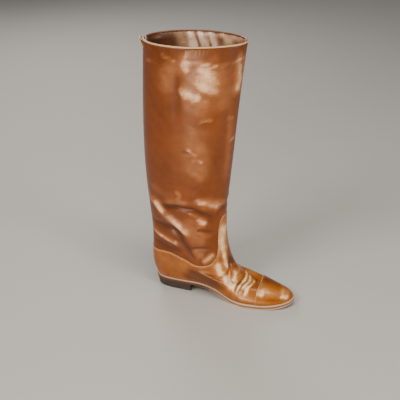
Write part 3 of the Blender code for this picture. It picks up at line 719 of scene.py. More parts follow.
@dataclass
class Wiring:
    """A short way to add and join the nodes of one tree."""

    tree: bpy.types.NodeTree

    def add(self, kind: str, settings: dict | None = None, **inputs: object) -> bpy.types.Node:
        """Adds a node.

        Args:
            kind: the node's type, without its ShaderNode prefix.
            settings: properties of the node.
            **inputs: values or sockets for its inputs, named with _ for a space.

        Returns:
            The node.
        """
        node = self.tree.nodes.new("ShaderNode" + kind)
        for name, value in (settings or {}).items():
            setattr(node, name, value)
        for name, value in inputs.items():
            self.put(node.inputs[name.replace("_", " ")], value)
        return node

    def put(self, socket: Socket, value: Number | Colour) -> None:
        """Links a socket, or sets its value.

        Args:
            socket: the input.
            value: an output to link, or what is set.
        """
        if isinstance(value, Socket):
            self.tree.links.new(value, socket)
        elif isinstance(value, tuple) and len(value) == 3 and socket.type == "RGBA":
            socket.default_value = (*value, 1.0)
        else:
            socket.default_value = value

    def math(self, operation: str, first: Number, second: Number = 0.0) -> Socket:
        """The result of a Math node.

        Args:
            operation: what it does.
            first: its first number.
            second: its second number.

        Returns:
            Its output.
        """
        node = self.add("Math", {"operation": operation})
        self.put(node.inputs[0], first)
        self.put(node.inputs[1], second)
        return node.outputs[0]

    def blend(self, factor: Number, first: Number | Colour, second: Number | Colour) -> Socket:
        """The colour of a Mix node.

        Args:
            factor: how much of the second shows.
            first: a colour.
            second: another colour.

        Returns:
            Its output.
        """
        node = self.add("Mix", {"data_type": "RGBA"})
        self.put(node.inputs[0], factor)
        self.put(node.inputs[6], first)
        self.put(node.inputs[7], second)
        return node.outputs[2]

    def span(self, value: Number, low: float, high: float, to_low: float, to_high: float) -> Socket:
        """A value carried from one range to another, clamped.

        Args:
            value: the value.
            low: where it starts.
            high: where it ends.
            to_low: what it becomes at low.
            to_high: what it becomes at high.

        Returns:
            The carried value.
        """
        node = self.add("MapRange", None, Value=value)
        for name, number in (("From Min", low), ("From Max", high), ("To Min", to_low), ("To Max", to_high)):
            node.inputs[name].default_value = number
        return node.outputs[0]

    def attribute(self, name: str) -> Socket:
        """The value of one of the piece's own attributes."""
        return self.add("Attribute", {"attribute_name": name}).outputs["Fac"]

    def place(self) -> Socket:
        """Object coordinates."""
        return self.add("TexCoord").outputs["Object"]

    def stretched(self, scale: Point) -> Socket:
        """Object coordinates scaled along each axis."""
        return self.add("Mapping", None, Vector=self.place(), Scale=scale).outputs[0]

    def noise(self, vector: Socket, scale: Number, detail: float = 4.0, roughness: float = 0.55) -> Socket:
        """The value of a noise."""
        node = self.add("TexNoise", None, Vector=vector, Scale=scale, Detail=detail, Roughness=roughness)
        return node.outputs[0]


def effect_group(
    name: str, inputs: dict[str, float], outputs: Sequence[str]
) -> tuple[bpy.types.NodeTree, Wiring, bpy.types.Node, bpy.types.Node]:
    """Starts a shader node group.

    Args:
        name: the group's name.
        inputs: its float inputs and their usual values.
        outputs: its float outputs.

    Returns:
        The group, its wiring, and the nodes of its inputs and outputs.
    """
    group = bpy.data.node_groups.new(name, "ShaderNodeTree")
    for label, value in inputs.items():
        socket = group.interface.new_socket(label, in_out="INPUT", socket_type="NodeSocketFloat")
        socket.default_value = value
    for label in outputs:
        group.interface.new_socket(label, in_out="OUTPUT", socket_type="NodeSocketFloat")
    source = group.nodes.new("NodeGroupInput")
    result = group.nodes.new("NodeGroupOutput")
    return group, Wiring(group), source, result


@dataclass
class Effects:
    """The node groups that the finishes share, each built once."""

    def __post_init__(self) -> None:
        """Builds every group."""
        self.mottle = self.mottle_group()
        self.grain = self.grain_group()
        self.scuffs = self.scuff_group()
        self.weave = self.weave_group()

    @staticmethod
    def mottle_group() -> bpy.types.NodeTree:
        """Uneven dye: broad clouds with finer ones in them.

        Returns:
            The node group.
        """
        group, wire, source, result = effect_group("mottle", {"Scale": 30.0, "Contrast": 1.0}, ["Mask"])
        place = wire.place()
        broad = wire.noise(place, source.outputs["Scale"], 3.0, 0.5)
        fine = wire.noise(place, wire.math("MULTIPLY", source.outputs["Scale"], 4.3), 3.0, 0.5)
        mixed = wire.math("ADD", wire.math("MULTIPLY", broad, 0.78), wire.math("MULTIPLY", fine, 0.22))
        centred = wire.math("SUBTRACT", mixed, 0.5)
        strong = wire.math("MULTIPLY", centred, wire.math("MULTIPLY", source.outputs["Contrast"], 2.6))
        wire.put(result.inputs["Mask"], wire.span(wire.math("ADD", strong, 0.5), 0.0, 1.0, 0.0, 1.0))
        return group

    @staticmethod
    def grain_group() -> bpy.types.NodeTree:
        """The hair cells of smooth calf, with faint pores.

        Returns:
            The node group.
        """
        group, wire, source, result = effect_group("leather_grain", {"Scale": 900.0}, ["Height"])
        cells = wire.add("TexVoronoi", {"feature": "SMOOTH_F1"}, Vector=wire.place(), Scale=source.outputs[0])
        cells.inputs["Smoothness"].default_value = 0.6
        pores = wire.noise(wire.place(), wire.math("MULTIPLY", source.outputs[0], 0.35), 4.0, 0.6)
        domes = wire.math("MULTIPLY", cells.outputs[0], 0.6)
        height = wire.math("ADD", domes, wire.math("MULTIPLY", pores, 0.7))
        wire.put(result.inputs["Height"], height)
        return group

    @staticmethod
    def scuff_group() -> bpy.types.NodeTree:
        """Short pale scratches and rubbed spots.

        Returns:
            The node group.
        """
        group, wire, source, result = effect_group("scuffs", {"Scale": 60.0, "Amount": 0.5}, ["Mask"])
        long_way = wire.stretched((2.6, 2.6, 0.7))
        lines = wire.noise(long_way, wire.math("MULTIPLY", source.outputs["Scale"], 2.0), 6.0, 0.72)
        patches = wire.noise(wire.place(), wire.math("MULTIPLY", source.outputs["Scale"], 0.4), 2.0, 0.5)
        sharp = wire.span(lines, 0.60, 0.70, 0.0, 1.0)
        where = wire.span(patches, 0.48, 0.64, 0.0, 1.0)
        both = wire.math("MULTIPLY", sharp, where)
        wire.put(result.inputs["Mask"], wire.math("MULTIPLY", both, source.outputs["Amount"]))
        return group

    @staticmethod
    def weave_group() -> bpy.types.NodeTree:
        """Fine ribs of a woven tape, across and along.

        Returns:
            The node group.
        """
        group, wire, source, result = effect_group("weave", {"Scale": 1600.0}, ["Height"])
        place = wire.add("SeparateXYZ", None, Vector=wire.place())
        ribs = wire.math("SINE", wire.math("MULTIPLY", place.outputs["Z"], source.outputs[0]))
        yarns = wire.math("SINE", wire.math("MULTIPLY", place.outputs["Y"], source.outputs[0]))
        both = wire.math("ADD", ribs, wire.math("MULTIPLY", yarns, 0.6))
        wire.put(result.inputs["Height"], wire.span(both, -1.6, 1.6, 0.0, 1.0))
        return group


def started(name: str) -> tuple[bpy.types.Material, Wiring, bpy.types.Node]:
    """A new node material with its wiring and its Principled shader.

    Args:
        name: the material's name.

    Returns:
        The material, its wiring and its shader.
    """
    made = bpy.data.materials.new(name)
    made.use_nodes = True
    return made, Wiring(made.node_tree), made.node_tree.nodes["Principled BSDF"]


@dataclass(frozen=True)
class HideFinish:
    """Polished, much worn brown calf: mottled dye and scuffs, painted shade in the creases and towards the
    back, and painted highlights, partly rubbed wear, on the ridges.
    """

    name: str
    deep: Colour
    main: Colour
    pale: Colour
    # The worn and bright colours paint the paler marks: painted highlights, partly rubbed wear; worn also
    # colours the scuffs.
    worn: Colour = (0.62, 0.26, 0.100)
    bright: Colour = (0.98, 0.66, 0.42)
    # The crease colour paints shade into the darker marks and the troughs.
    crease_shade_colour: Colour = (0.050, 0.012, 0.002)
    # The edge colour goes along the pieces' edges; on the vamp's and cap's folded edges it is a painted
    # highlight.
    edge: Colour = (0.62, 0.32, 0.12)
    gloss: tuple[float, float] = (0.32, 0.46)
    # back_shade darkens the colour towards the back of the boot: painted shade.
    back_shade: float = 0.0
    coat: float = 0.18

    def build(self, effects: Effects) -> bpy.types.Material:
        """Makes the material.

        Args:
            effects: the shared node groups.

        Returns:
            The material.
        """
        made, wire, shader = started(self.name)
        broad = wire.add("Group", {"node_tree": effects.mottle}, Scale=16.0, Contrast=1.0).outputs[0]
        fine = wire.add("Group", {"node_tree": effects.mottle}, Scale=75.0, Contrast=0.7).outputs[0]
        scuffs = wire.add("Group", {"node_tree": effects.scuffs}, Scale=70.0, Amount=0.16).outputs[0]
        colour = wire.blend(broad, self.deep, self.main)
        colour = wire.blend(wire.math("MULTIPLY", fine, 0.30), colour, self.pale)
        place = wire.add("SeparateXYZ", None, Vector=wire.place())
        # Painted shade: darker towards the back of the boot.
        behind = wire.span(place.outputs["X"], -0.045, 0.035, self.back_shade, 0.0)
        colour = wire.blend(behind, colour, self.deep)
        # Painted highlights, partly rubbed wear, where the marks are paler, broken up by noise: first the worn
        # colour, then the bright one.
        tone, fold = wire.attribute("tone"), wire.attribute("fold")
        broken = wire.add("Group", {"node_tree": effects.mottle}, Scale=60.0, Contrast=0.9).outputs[0]
        uneven = wire.math("MULTIPLY", tone, wire.span(broken, 0.0, 1.0, 0.40, 1.40))
        painted_highlight_and_wear = wire.span(uneven, 0.0, 1.05, 0.0, 0.88)
        colour = wire.blend(painted_highlight_and_wear, colour, self.worn)
        colour = wire.blend(wire.span(uneven, 0.45, 1.25, 0.0, 0.80), colour, self.bright)
        # Painted shade where the marks are darker and in the troughs of the creases.
        painted_crease_shade = wire.span(wire.math("ADD", tone, wire.math("MULTIPLY", fold, 0.12)), -0.9, 0.0, 0.75, 0.0)
        colour = wire.blend(painted_crease_shade, colour, self.crease_shade_colour)
        colour = wire.blend(scuffs, colour, self.worn)
        # Edge colour along the edges; on the vamp's and cap's folded edges it is a painted highlight.
        colour = wire.blend(wire.span(wire.attribute("edge"), 0.0, 1.0, 0.0, 0.8), colour, self.edge)
        wire.put(shader.inputs["Base Color"], colour)
        rough = wire.span(fine, 0.0, 1.0, *self.gloss)
        rough = wire.math("ADD", rough, wire.math("MULTIPLY", scuffs, 0.2))
        rough = wire.math("SUBTRACT", rough, wire.math("MULTIPLY", painted_highlight_and_wear, 0.10))
        wire.put(shader.inputs["Roughness"], rough)
        shader.inputs["Coat Weight"].default_value = self.coat
        shader.inputs["Coat Roughness"].default_value = 0.24
        shader.inputs["IOR"].default_value = 1.38
        grain = wire.add("Group", {"node_tree": effects.grain}, Scale=850.0).outputs[0]
        wrinkles = wire.noise(wire.stretched((1.0, 1.0, 1.8)), 60.0, 3.0, 0.5)
        height = wire.math("ADD", wire.math("MULTIPLY", grain, 0.14), wrinkles)
        bump = wire.add("Bump", None, Strength=0.20, Distance=0.0010, Height=height)
        wire.put(shader.inputs["Normal"], bump.outputs[0])
        return made


@dataclass(frozen=True)
class PlainHideFinish:
    """Matt or waxed leather that shows no creases: lining, sock, welt and sole edges, heel stack."""

    name: str
    deep: Colour
    main: Colour
    worn: Colour
    roughness: float = 0.55
    layers: float = 0.0
    mottle: float = 60.0
    scuffed: float = 0.6
    line: Colour | None = None
    rear: Colour | None = None
    rear_span: tuple[float, float] = (0.062, 0.112)

    def build(self, effects: Effects) -> bpy.types.Material:
        """Makes the material.

        Args:
            effects: the shared node groups.

        Returns:
            The material.
        """
        made, wire, shader = started(self.name)
        clouds = wire.add("Group", {"node_tree": effects.mottle}, Scale=self.mottle, Contrast=1.2).outputs[0]
        scuffs = wire.add("Group", {"node_tree": effects.scuffs}, Scale=110.0, Amount=self.scuffed).outputs[0]
        colour = wire.blend(clouds, self.deep, self.main)
        colour = wire.blend(scuffs, colour, self.worn)
        if self.line:
            colour = wire.blend(wire.attribute("line"), colour, self.line)
        if self.rear:
            place = wire.add("SeparateXYZ", None, Vector=wire.place())
            colour = wire.blend(wire.span(place.outputs["X"], *self.rear_span, 1.0, 0.0), colour, self.rear)
        height = wire.add("Group", {"node_tree": effects.grain}, Scale=700.0).outputs[0]
        if self.layers > 0:
            strata = wire.noise(wire.stretched((4.0, 4.0, 160.0)), 9.0, 3.0, 0.6)
            dark = wire.span(strata, 0.35, 0.6, self.layers, 0.0)
            colour = wire.blend(dark, colour, self.deep)
            height = wire.math("ADD", height, strata)
        wire.put(shader.inputs["Base Color"], colour)
        rough = wire.span(clouds, 0.0, 1.0, self.roughness - 0.1, self.roughness + 0.1)
        wire.put(shader.inputs["Roughness"], rough)
        bump = wire.add("Bump", None, Strength=0.4, Distance=0.0004, Height=height)
        wire.put(shader.inputs["Normal"], bump.outputs[0])
        return made


@dataclass(frozen=True)
class ThreadFinish:
    """Waxed thread with its twist."""

    name: str
    colour: Colour
    shade: Colour

    def build(self, effects: Effects) -> bpy.types.Material:
        """Makes the material.

        Args:
            effects: the shared node groups.

        Returns:
            The material.
        """
        made, wire, shader = started(self.name)
        clouds = wire.add("Group", {"node_tree": effects.mottle}, Scale=200.0, Contrast=1.5).outputs[0]
        wire.put(shader.inputs["Base Color"], wire.blend(clouds, self.shade, self.colour))
        wire.put(shader.inputs["Roughness"], wire.span(clouds, 0.0, 1.0, 0.45, 0.7))
        twist = wire.noise(wire.place(), 3000.0, 2.0)
        bump = wire.add("Bump", None, Strength=0.3, Distance=0.0002, Height=twist)
        wire.put(shader.inputs["Normal"], bump.outputs[0])
        return made


@dataclass(frozen=True)
class TapeFinish:
    """Brown woven zip tape."""

    name: str = "woven_tape"
    colour: Colour = (0.16, 0.075, 0.035)
    shade: Colour = (0.05, 0.022, 0.012)

    def build(self, effects: Effects) -> bpy.types.Material:
        """Makes the material.

        Args:
            effects: the shared node groups.

        Returns:
            The material.
        """
        made, wire, shader = started(self.name)
        weave = wire.add("Group", {"node_tree": effects.weave}, Scale=5200.0).outputs[0]
        clouds = wire.add("Group", {"node_tree": effects.mottle}, Scale=90.0, Contrast=1.0).outputs[0]
        colour = wire.blend(weave, self.shade, self.colour)
        colour = wire.blend(wire.math("MULTIPLY", clouds, 0.3), colour, self.shade)
        wire.put(shader.inputs["Base Color"], colour)
        wire.put(shader.inputs["Roughness"], wire.span(clouds, 0.0, 1.0, 0.75, 0.9))
        bump = wire.add("Bump", None, Strength=0.5, Distance=0.0003, Height=weave)
        wire.put(shader.inputs["Normal"], bump.outputs[0])
        return made


@dataclass(frozen=True)
class BrassFinish:
    """Pale worn brass of the zip."""

    name: str = "pale_brass"
    bright: Colour = (0.90, 0.72, 0.42)
    dull: Colour = (0.55, 0.38, 0.19)

    def build(self, effects: Effects) -> bpy.types.Material:
        """Makes the material.

        Args:
            effects: the shared node groups.

        Returns:
            The material.
        """
        made, wire, shader = started(self.name)
        clouds = wire.add("Group", {"node_tree": effects.mottle}, Scale=260.0, Contrast=1.3).outputs[0]
        wire.put(shader.inputs["Base Color"], wire.blend(clouds, self.dull, self.bright))
        wire.put(shader.inputs["Roughness"], wire.span(clouds, 0.0, 1.0, 0.42, 0.22))
        shader.inputs["Metallic"].default_value = 1.0
        scratches = wire.noise(wire.stretched((1.0, 1.0, 6.0)), 900.0, 3.0)
        bump = wire.add("Bump", None, Strength=0.15, Distance=0.0001, Height=scratches)
        wire.put(shader.inputs["Normal"], bump.outputs[0])
        return made


@dataclass(frozen=True)
class FloorFinish:
    """Plain pale studio floor."""

    name: str = "pale_floor"
    colour: Colour = (0.52, 0.51, 0.49)

    def build(self, effects: Effects) -> bpy.types.Material:
        """Makes the material.

        Args:
            effects: the shared node groups.

        Returns:
            The material.
        """
        made, wire, shader = started(self.name)
        clouds = wire.add("Group", {"node_tree": effects.mottle}, Scale=6.0, Contrast=0.4).outputs[0]
        darker = tuple(part * 0.96 for part in self.colour)
        wire.put(shader.inputs["Base Color"], wire.blend(clouds, darker, self.colour))
        wire.put(shader.inputs["Roughness"], wire.span(clouds, 0.0, 1.0, 0.55, 0.62))
        return made


class Finishes:
    """Every material of the boot, built once."""

    def __init__(self, effects: Effects) -> None:
        """Builds the materials.

        Args:
            effects: the shared node groups.
        """
        # The hides' worn and bright colours paint the marks' highlights; back_shade paints shade towards the
        # back.
        leg = HideFinish(
            "leg_hide", (0.098, 0.0185, 0.0004), (0.192, 0.043, 0.0008), (0.29, 0.088, 0.012), back_shade=0.40
        )
        foot = HideFinish(
            "foot_hide", (0.180, 0.041, 0.0005), (0.300, 0.083, 0.0015), (0.44, 0.155, 0.022),
            worn=(0.74, 0.36, 0.12), bright=(1.0, 0.80, 0.52), gloss=(0.24, 0.38)
        )
        cap = HideFinish(
            "cap_hide", (0.180, 0.040, 0.0005), (0.320, 0.090, 0.0015), (0.45, 0.16, 0.02),
            worn=(0.74, 0.36, 0.12), bright=(1.0, 0.82, 0.58), gloss=(0.22, 0.34)
        )
        binding = HideFinish(
            "binding_hide", (0.10, 0.030, 0.006), (0.20, 0.065, 0.016), (0.30, 0.13, 0.05),
            edge=(0.76, 0.49, 0.27)
        )
        # The lining's pale streaks are painted highlights; back_shade=1.0 paints its back in shade.
        lining = HideFinish(
            "lining", (0.080, 0.026, 0.010), (0.300, 0.130, 0.065), (0.56, 0.28, 0.15),
            worn=(1.0, 0.58, 0.35), bright=(1.0, 0.84, 0.66), back_shade=1.0
        )
        sock = PlainHideFinish(
            "sock", (0.22, 0.11, 0.06), (0.40, 0.23, 0.14), (0.30, 0.17, 0.10), roughness=0.6, mottle=40.0
        )
        edge = PlainHideFinish(
            "sole_edge", (0.15, 0.065, 0.030), (0.30, 0.150, 0.075), (0.50, 0.32, 0.20),
            roughness=0.5, layers=0.5, line=(0.72, 0.53, 0.36), rear=(0.050, 0.022, 0.012)
        )
        welt = PlainHideFinish(
            "welt_leather", (0.12, 0.050, 0.020), (0.26, 0.120, 0.055), (0.50, 0.32, 0.20),
            roughness=0.5, layers=0.2, line=(0.62, 0.42, 0.27)
        )
        stack = PlainHideFinish(
            "heel_stack", (0.018, 0.007, 0.005), (0.058, 0.025, 0.016), (0.15, 0.07, 0.045),
            roughness=0.42, layers=0.6
        )
        rubber = PlainHideFinish(
            "heel_rubber", (0.016, 0.013, 0.013), (0.045, 0.038, 0.036), (0.10, 0.09, 0.08), roughness=0.7
        )
        self.leg, self.foot, self.cap = leg.build(effects), foot.build(effects), cap.build(effects)
        self.binding, self.lining = binding.build(effects), lining.build(effects)
        self.sock = sock.build(effects)
        self.edge, self.welt = edge.build(effects), welt.build(effects)
        self.stack, self.rubber = stack.build(effects), rubber.build(effects)
        self.thread = ThreadFinish("tan_thread", (0.66, 0.40, 0.19), (0.36, 0.17, 0.06)).build(effects)
        self.brown_thread = ThreadFinish("brown_thread", (0.34, 0.14, 0.05), (0.14, 0.05, 0.015)).build(effects)
        self.pale_thread = ThreadFinish("pale_thread", (0.80, 0.66, 0.48), (0.50, 0.36, 0.22)).build(effects)
        self.tape, self.brass = TapeFinish().build(effects), BrassFinish().build(effects)
        self.floor = FloorFinish().build(effects)


def add_piece(
    name: str,
    mesh: bmesh.types.BMesh,
    finish: bpy.types.Material,
    replaces: Sequence[str] = (),
    wall: float = 0.0,
    sharp: float = 50.0,
    body: str = "boot",
) -> bpy.types.Object:
    """Makes a mesh a piece of the boot.

    Args:
        name: the piece's name.
        mesh: its shape, freed here.
        finish: its material.
        replaces: CAD nodes that it stands for.
        wall: thickness given to an open sheet, inwards.
        sharp: angle in degrees past which an edge shows sharp.
        body: the CAD body that it rides on.

    Returns:
        The new object.
    """
    data = bpy.data.meshes.new(name)
    mesh.to_mesh(data)
    mesh.free()
    data.materials.append(finish)
    data.shade_smooth()
    data.set_sharp_from_angle(angle=math.radians(sharp))
    made = bpy.data.objects.new(name, data)
    bpy.context.scene.collection.objects.link(made)
    if wall > 0:
        solid = made.modifiers.new("wall", "SOLIDIFY")
        solid.thickness = wall
        solid.offset = -1.0
        solid.use_even_offset = True
    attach(made, body)
    if replaces:
        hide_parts(*replaces)
    LOG.info("%s: %d faces", name, len(data.polygons))
    return made


@dataclass(frozen=True)
class Stitching:
    """A row of short thread stitches along a line on the leather."""

    length: float = 0.0021
    gap: float = 0.0009
    radius: float = 0.00034
    sink: float = 0.3
    batch: int = 40

    def sew(self, mesh: bmesh.types.BMesh, path: np.ndarray, out: np.ndarray) -> None:
        """Adds the stitches to a mesh.

        Args:
            mesh: where they go.
            path: points that the row follows.
            out: outward directions at those points.
        """
        run = np.concatenate([[0.0], np.cumsum(np.linalg.norm(np.diff(path, axis=0), axis=1))])
        pitch = self.length + self.gap
        count = max(1, int(run[-1] / pitch))
        middles = (np.arange(count) + 0.5) * run[-1] / count
        half = self.length / 2

        def at(distance: np.ndarray, values: np.ndarray) -> np.ndarray:
            """The values at distances along the row."""
            return np.stack([np.interp(distance, run, values[:, k]) for k in range(3)], 1)

        heads, tails, centres = at(middles + half, path), at(middles - half, path), at(middles, path)
        stitches = list(zip(heads - tails, centres, at(middles, out)))
        for first in range(0, count, self.batch):
            few = bmesh.new()
            for run_way, centre, up in stitches[first : first + self.batch]:
                along = Vector(run_way).normalized()
                side = Vector(up).cross(along).normalized()
                away = along.cross(side)
                turn = Matrix((along * half, side * self.radius, away * self.radius)).transposed().to_4x4()
                spot = Matrix.Translation(Vector(centre) + away * self.radius * (0.5 - self.sink))
                bmesh.ops.create_uvsphere(few, u_segments=6, v_segments=4, radius=1.0, matrix=spot @ turn)
            data = bpy.data.meshes.new("stitches")
            few.to_mesh(data)
            few.free()
            mesh.from_mesh(data)
            bpy.data.meshes.remove(data)


@dataclass
class Leg:
    """The tall shaft: leg leather outside, lining inside, with the slouched ankle."""

    last: Last
    columns: int = 240
    rows: int = 176
    tuck: float = 0.25
    leather: float = 0.0011
    lining_depth: float = 0.0016
    lining_wall: float = 0.0008
    facing_drop: float = 0.024
    facing_dip: float = 0.006
    pucker: float = 0.00035
    gathers: tuple[int, int] = (88, 141)
    facing_tone: float = 0.34
    zip_rows: tuple[float, float] = (0.0058, 0.0150)
    lining_squares: tuple[int, int] = (100, 110)
    ripple_height: float = 0.0004

    def __post_init__(self) -> None:
        """Gathers the creases of both sides."""
        self.marks = [*ANKLE_MARKS, *SHAFT_MARKS]
        self.marks += across(ANKLE_MARKS, (3.0, 6.0), 0.8) + across(SHAFT_MARKS, (-5.0, -9.0), 0.5)

    def grid(self, columns: int, rows: int, start: np.ndarray | float) -> tuple[np.ndarray, np.ndarray]:
        """Places round and levels of a sheet from start to the collar, open along the zip.

        Args:
            columns: squares round.
            rows: squares up.
            start: level of the first row, one number or one for each column.

        Returns:
            around and level, each columns + 1 by rows + 1.
        """
        even = np.linspace(0, 1, columns + 1)[:, None]
        begin = np.broadcast_to(np.asarray(start, float).reshape(-1, 1), (columns + 1, 1))
        level = begin + (self.last.top - begin) * np.linspace(0, 1, rows + 1)[None, :]
        edge = self.last.beside_zip(level, self.last.slit(level))
        return edge + (1 - 2 * edge) * even, level

    def collar_height(self, around: np.ndarray) -> np.ndarray:
        """Height of the leather's top edge."""
        return self.last.surface(around, np.full_like(around, float(self.last.top)))[..., 2]

    def puckers(self, around: np.ndarray, places: np.ndarray) -> np.ndarray:
        """Little gathers that the binding's stitches pull into the collar.

        Args:
            around: places round the rings.
            places: the points there.

        Returns:
            Heights in metres.
        """
        down = self.collar_height(around) - places[..., 2]
        many, more = self.gathers
        waves = np.sin(around * 2 * np.pi * many) + 0.6 * np.sin(around * 2 * np.pi * more + 1.3)
        return self.pucker * waves * np.exp(-((down - 0.006) / 0.004) ** 2)

    def seam_rib(self, around: np.ndarray, places: np.ndarray) -> np.ndarray:
        """Shallow groove of the facing's stitch line, drawn tight."""
        return -0.0003 * np.exp(-(((places[..., 2] - self.facing_height(around)) / 0.0016) ** 2))

    def facing_height(self, around: np.ndarray) -> np.ndarray:
        """Height of the stitch line that holds the collar's facing: lower at the sides than at the front.

        Args:
            around: places round the rings.

        Returns:
            Heights above the floor.
        """
        dip = smoothstep(np.sin(np.pi * (around % 0.5) / 0.5) * 1.1)
        return self.collar_height(around) - self.facing_drop - self.facing_dip * dip

    def outer(self, finish: bpy.types.Material) -> None:
        """The leg leather, from under the vamp's seam to the collar.

        Args:
            finish: its material.
        """
        base = np.linspace(0, 1, self.columns + 1)
        around, level = self.grid(self.columns, self.rows, self.last.seam_level(base) - self.tuck)
        places = self.last.surface(around, level)
        height, tone = relief(places, self.marks)
        height += self.puckers(around, places) + self.seam_rib(around, places)
        edge_gap = np.minimum(around, 1 - around) - self.last.beside_zip(level, self.last.slit(level))
        edge = smoothstep(1 - edge_gap / self.last.beside_zip(level, 0.0016)) * 0.5
        drawn = np.exp(-(((places[..., 2] - self.facing_height(around) - 0.0012) / 0.0011) ** 2))
        # The marks' painted highlights and shade, with a paler line just above the facing's stitch line.
        layers = {"fold": height / MM, "tone": tone + self.facing_tone * drawn, "edge": edge}
        mesh = draped(self.last.raised(around, level, height), layers)
        add_piece("leg_leather", mesh, finish, ["upper"], wall=self.leather)

    def inner(self, finish: bpy.types.Material) -> None:
        """The lining, which follows the leg's broad creases.

        Args:
            finish: its material.
        """
        around, level = self.grid(*self.lining_squares, 0.1)
        places = self.last.surface(around, level)
        height, _ = relief(places, self.marks)
        # The lining marks give small ripples and the lining's painted highlights and shade.
        gathered, tone = relief(places, LINING_MARKS)
        down = self.collar_height(around) - places[..., 2]
        height += np.minimum(gathered, self.ripple_height) * smoothstep((down - 0.002) / 0.008)
        height = height * smoothstep((level - 3.0) / 2.0) - self.lining_depth
        layers = {"fold": np.zeros_like(tone), "tone": tone, "edge": np.zeros_like(tone)}
        mesh = draped(self.last.raised(around, level, height), layers)
        add_piece("leg_lining", mesh, finish, ["upper"], wall=self.lining_wall)

    def build(self, finishes: Finishes) -> None:
        """Makes the leg's leathers and the stitches of its facing and zip.

        Args:
            finishes: the boot's materials.
        """
        self.outer(finishes.leg)
        self.inner(finishes.lining)
        mesh = bmesh.new()
        around = np.linspace(0.02, 0.98, 500)
        level = self.last.level_at(around, self.facing_height(around))
        self.sew_on(mesh, around, level)
        level = np.linspace(self.last.zip_foot + 0.05, self.last.top - 0.12, 400)
        for distance in self.zip_rows:
            place = self.last.beside_zip(level, distance)
            self.sew_on(mesh, place, level)
            self.sew_on(mesh, 1 - place, level)
        add_piece("leg_stitches", mesh, finishes.brown_thread)

    def sew_on(self, mesh: bmesh.types.BMesh, around: np.ndarray, level: np.ndarray) -> None:
        """Sews a row on the creased leather.

        Args:
            mesh: where the stitches go.
            around: places round of the row's points.
            level: their levels.
        """
        height, _ = relief(self.last.surface(around, level), self.marks)
        Stitching().sew(mesh, self.last.raised(around, level, height), self.last.normal(around, level))


